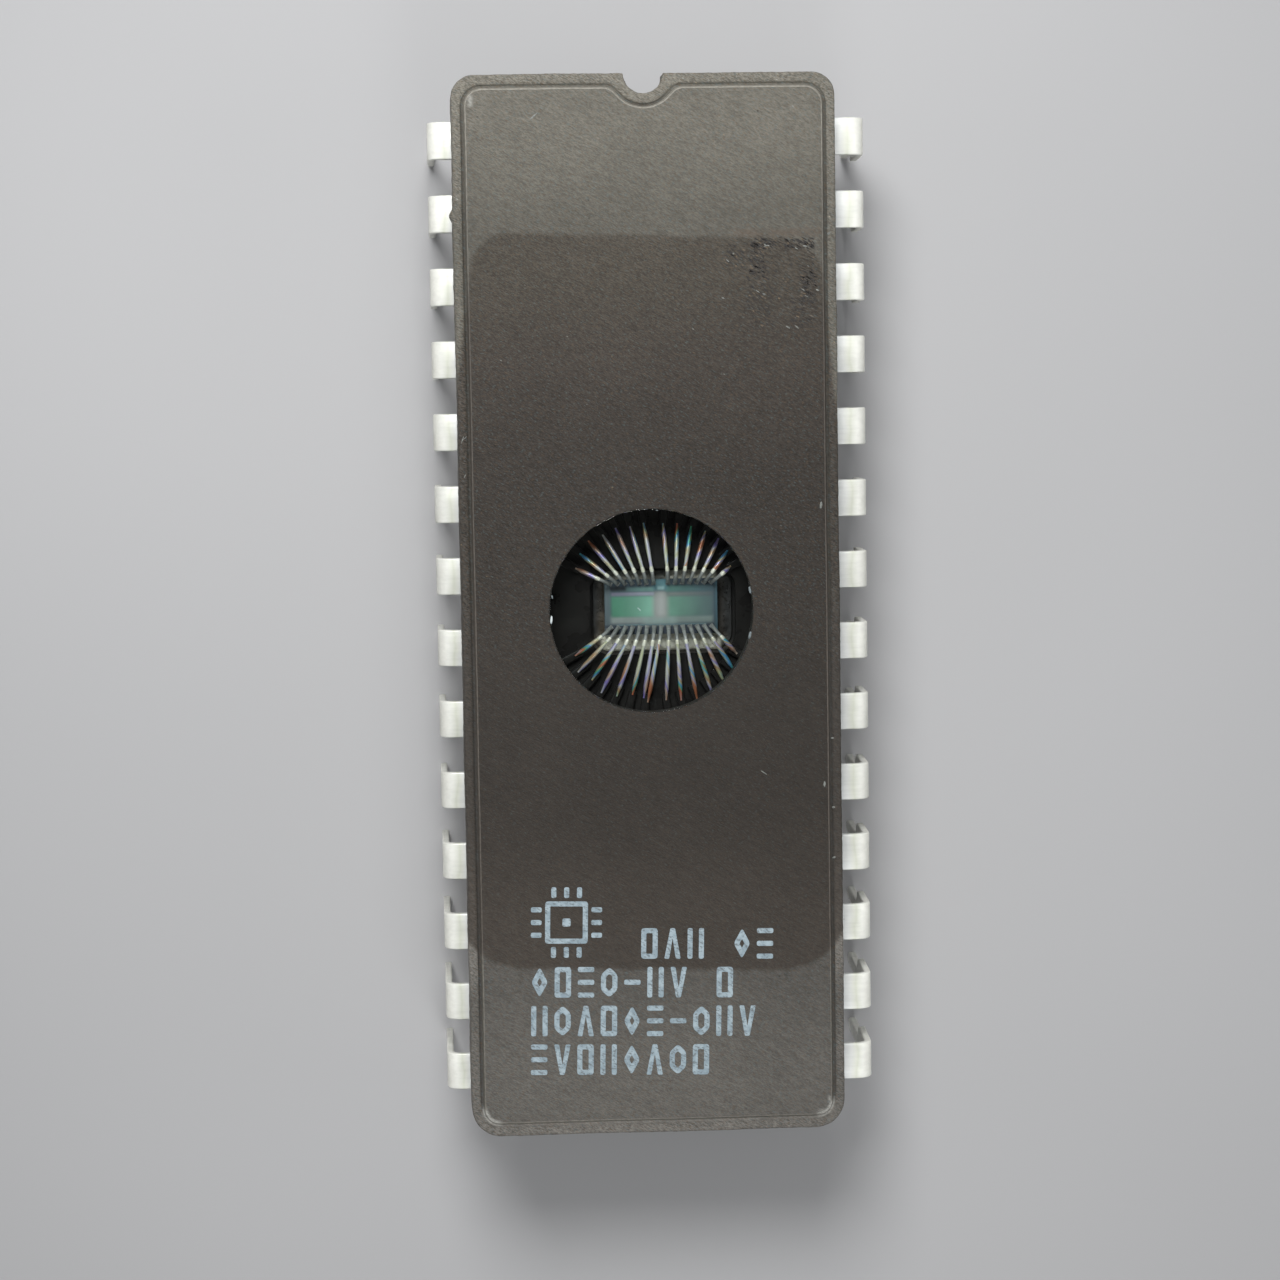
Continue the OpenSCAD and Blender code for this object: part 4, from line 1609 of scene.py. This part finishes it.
def pale_specks():
    """Dust and short scratches, and painted glints round the window's edge."""
    form = Form()
    groups = (
        (LID_SPECKS, LID_TOP, 0),
        (RIM_SPECKS, LID_TOP - PLATEAU_H, 0),
        (WINDOW_GLINTS, LID_TOP, 1),
        (FAINT_GLINTS, LID_TOP, 2),
    )
    for specks, z, finish in groups:
        for x, y, *size in specks:
            flake(form, (LID_X + x, LID_Y + y), z - FLAKE_SUNK, *size, 0.014, finish)
    piece("pale_specks", form, [pale_dust, bright_glint_and_scratch, faint_glint])
    form = Form()
    x = lerp(die_low.x, die_high.x, DIE_SCRATCH[0])
    y = lerp(die_low.y, die_high.y, DIE_SCRATCH[1])
    flake(form, (x, y), DIE_TOP + BLOCK_H, 0.1, 0.035, -50, 0.004)
    flake(form, (x - 0.05, y + 0.05), DIE_TOP + BLOCK_H, 0.06, 0.03, -10, 0.004)
    piece("die_scratch", form, [bright_glint_and_scratch])


# Stage


def lamp(name, place, aim, size, power, spread=180):
    """A soft disc lamp, hidden from the camera."""
    data = bpy.data.lights.new(name, "AREA")
    data.shape = "DISK"
    data.size = size * MM
    data.energy = power
    data.spread = math.radians(spread)
    made = shown(name, data)
    made.location = Vector(place) * MM
    made.rotation_mode = "QUATERNION"
    made.rotation_quaternion = (Vector(place) - Vector(aim)).to_track_quat("Z", "Y")
    made.visible_camera = False


FLOOR_HALF = 1.2


def floor():
    mesh = bpy.data.meshes.new("floor")
    corners = rectangle(-FLOOR_HALF, -FLOOR_HALF, FLOOR_HALF, FLOOR_HALF)
    mesh.from_pydata([(x, y, 0) for x, y in corners], [], [(0, 1, 2, 3)])
    f = Finish("floor paint")
    mesh.materials.append(f.coat(f.mix(f.cloud(0.02), (176, 176, 177), (181, 181, 182)), 0.9))
    shown("floor", mesh)


def world():
    """Even pale light, darker straight overhead, where the camera stands and the window looks."""
    made = bpy.data.worlds.new("studio")
    bpy.context.scene.world = made
    w = Nodes(made)
    height = w.node("SeparateXYZ", w.node("TexCoord").outputs["Generated"]).outputs[2]
    hood = w.fade(height, math.cos(math.radians(34)), math.cos(math.radians(14)))
    seen = w.node("Background", Color=w.mix(hood, (0.80, 0.80, 0.79, 1), (0.02, 0.02, 0.02, 1)))
    fill = w.node("Background", Color=(0.95, 0.97, 1.0, 1), Strength=0.27)
    seen_rays = w.any_ray("Camera", "Glossy", "Transmission")
    blend = w.node("MixShader", seen_rays, fill.outputs[0], seen.outputs[0])
    w.node("OutputWorld", Surface=blend.outputs[0])


CAMERA_AT = Vector((-5.040, 6.928, 103.717))
CAMERA_AIM = Vector((-0.595, -0.948, 8.4))
CAMERA_ROLL = math.radians(-0.93)
SENSOR = 36.0
FOCAL = 77.34


def camera():
    data = bpy.data.cameras.new("camera")
    data.sensor_width = SENSOR
    data.lens = FOCAL
    data.clip_start = 0.002
    data.clip_end = 10
    made = shown("camera", data)
    back = (CAMERA_AT - CAMERA_AIM).normalized()
    level = ALONG.cross(back).normalized()
    right = level * math.cos(CAMERA_ROLL) + back.cross(level) * math.sin(CAMERA_ROLL)
    axes = Matrix((right, back.cross(right), back)).transposed().to_4x4()
    made.matrix_world = Matrix.Translation(CAMERA_AT * MM) @ axes
    bpy.context.scene.camera = made


camera()
lid()
base()
window_pane()
for number in range(1, LEAD_N + 1):
    lead(number)
die()
die_bed()
for number in range(1, LEAD_N, QUARTER_N):
    wires(number, number + QUARTER_N - 1)
marking()
glue_strokes()
pale_specks()

seal = frame["nodes"]["sealing_glass"]
seal.data.materials.clear()
seal.data.materials.append(dark_frit)

floor()
world()
lamp("key", (-15, 62, 100), (0, 14, 8), 50, 0.042, 100)
lamp("front", (12, -80, 95), (0, -12, 8), 50, 0.010, 110)
lamp("left", (-140, 10, 110), (0, 0, 8), 70, 0.011)
lamp("right", (140, -5, 110), (0, 0, 8), 70, 0.014)

scene = bpy.context.scene
scene.view_settings.view_transform = "Standard"
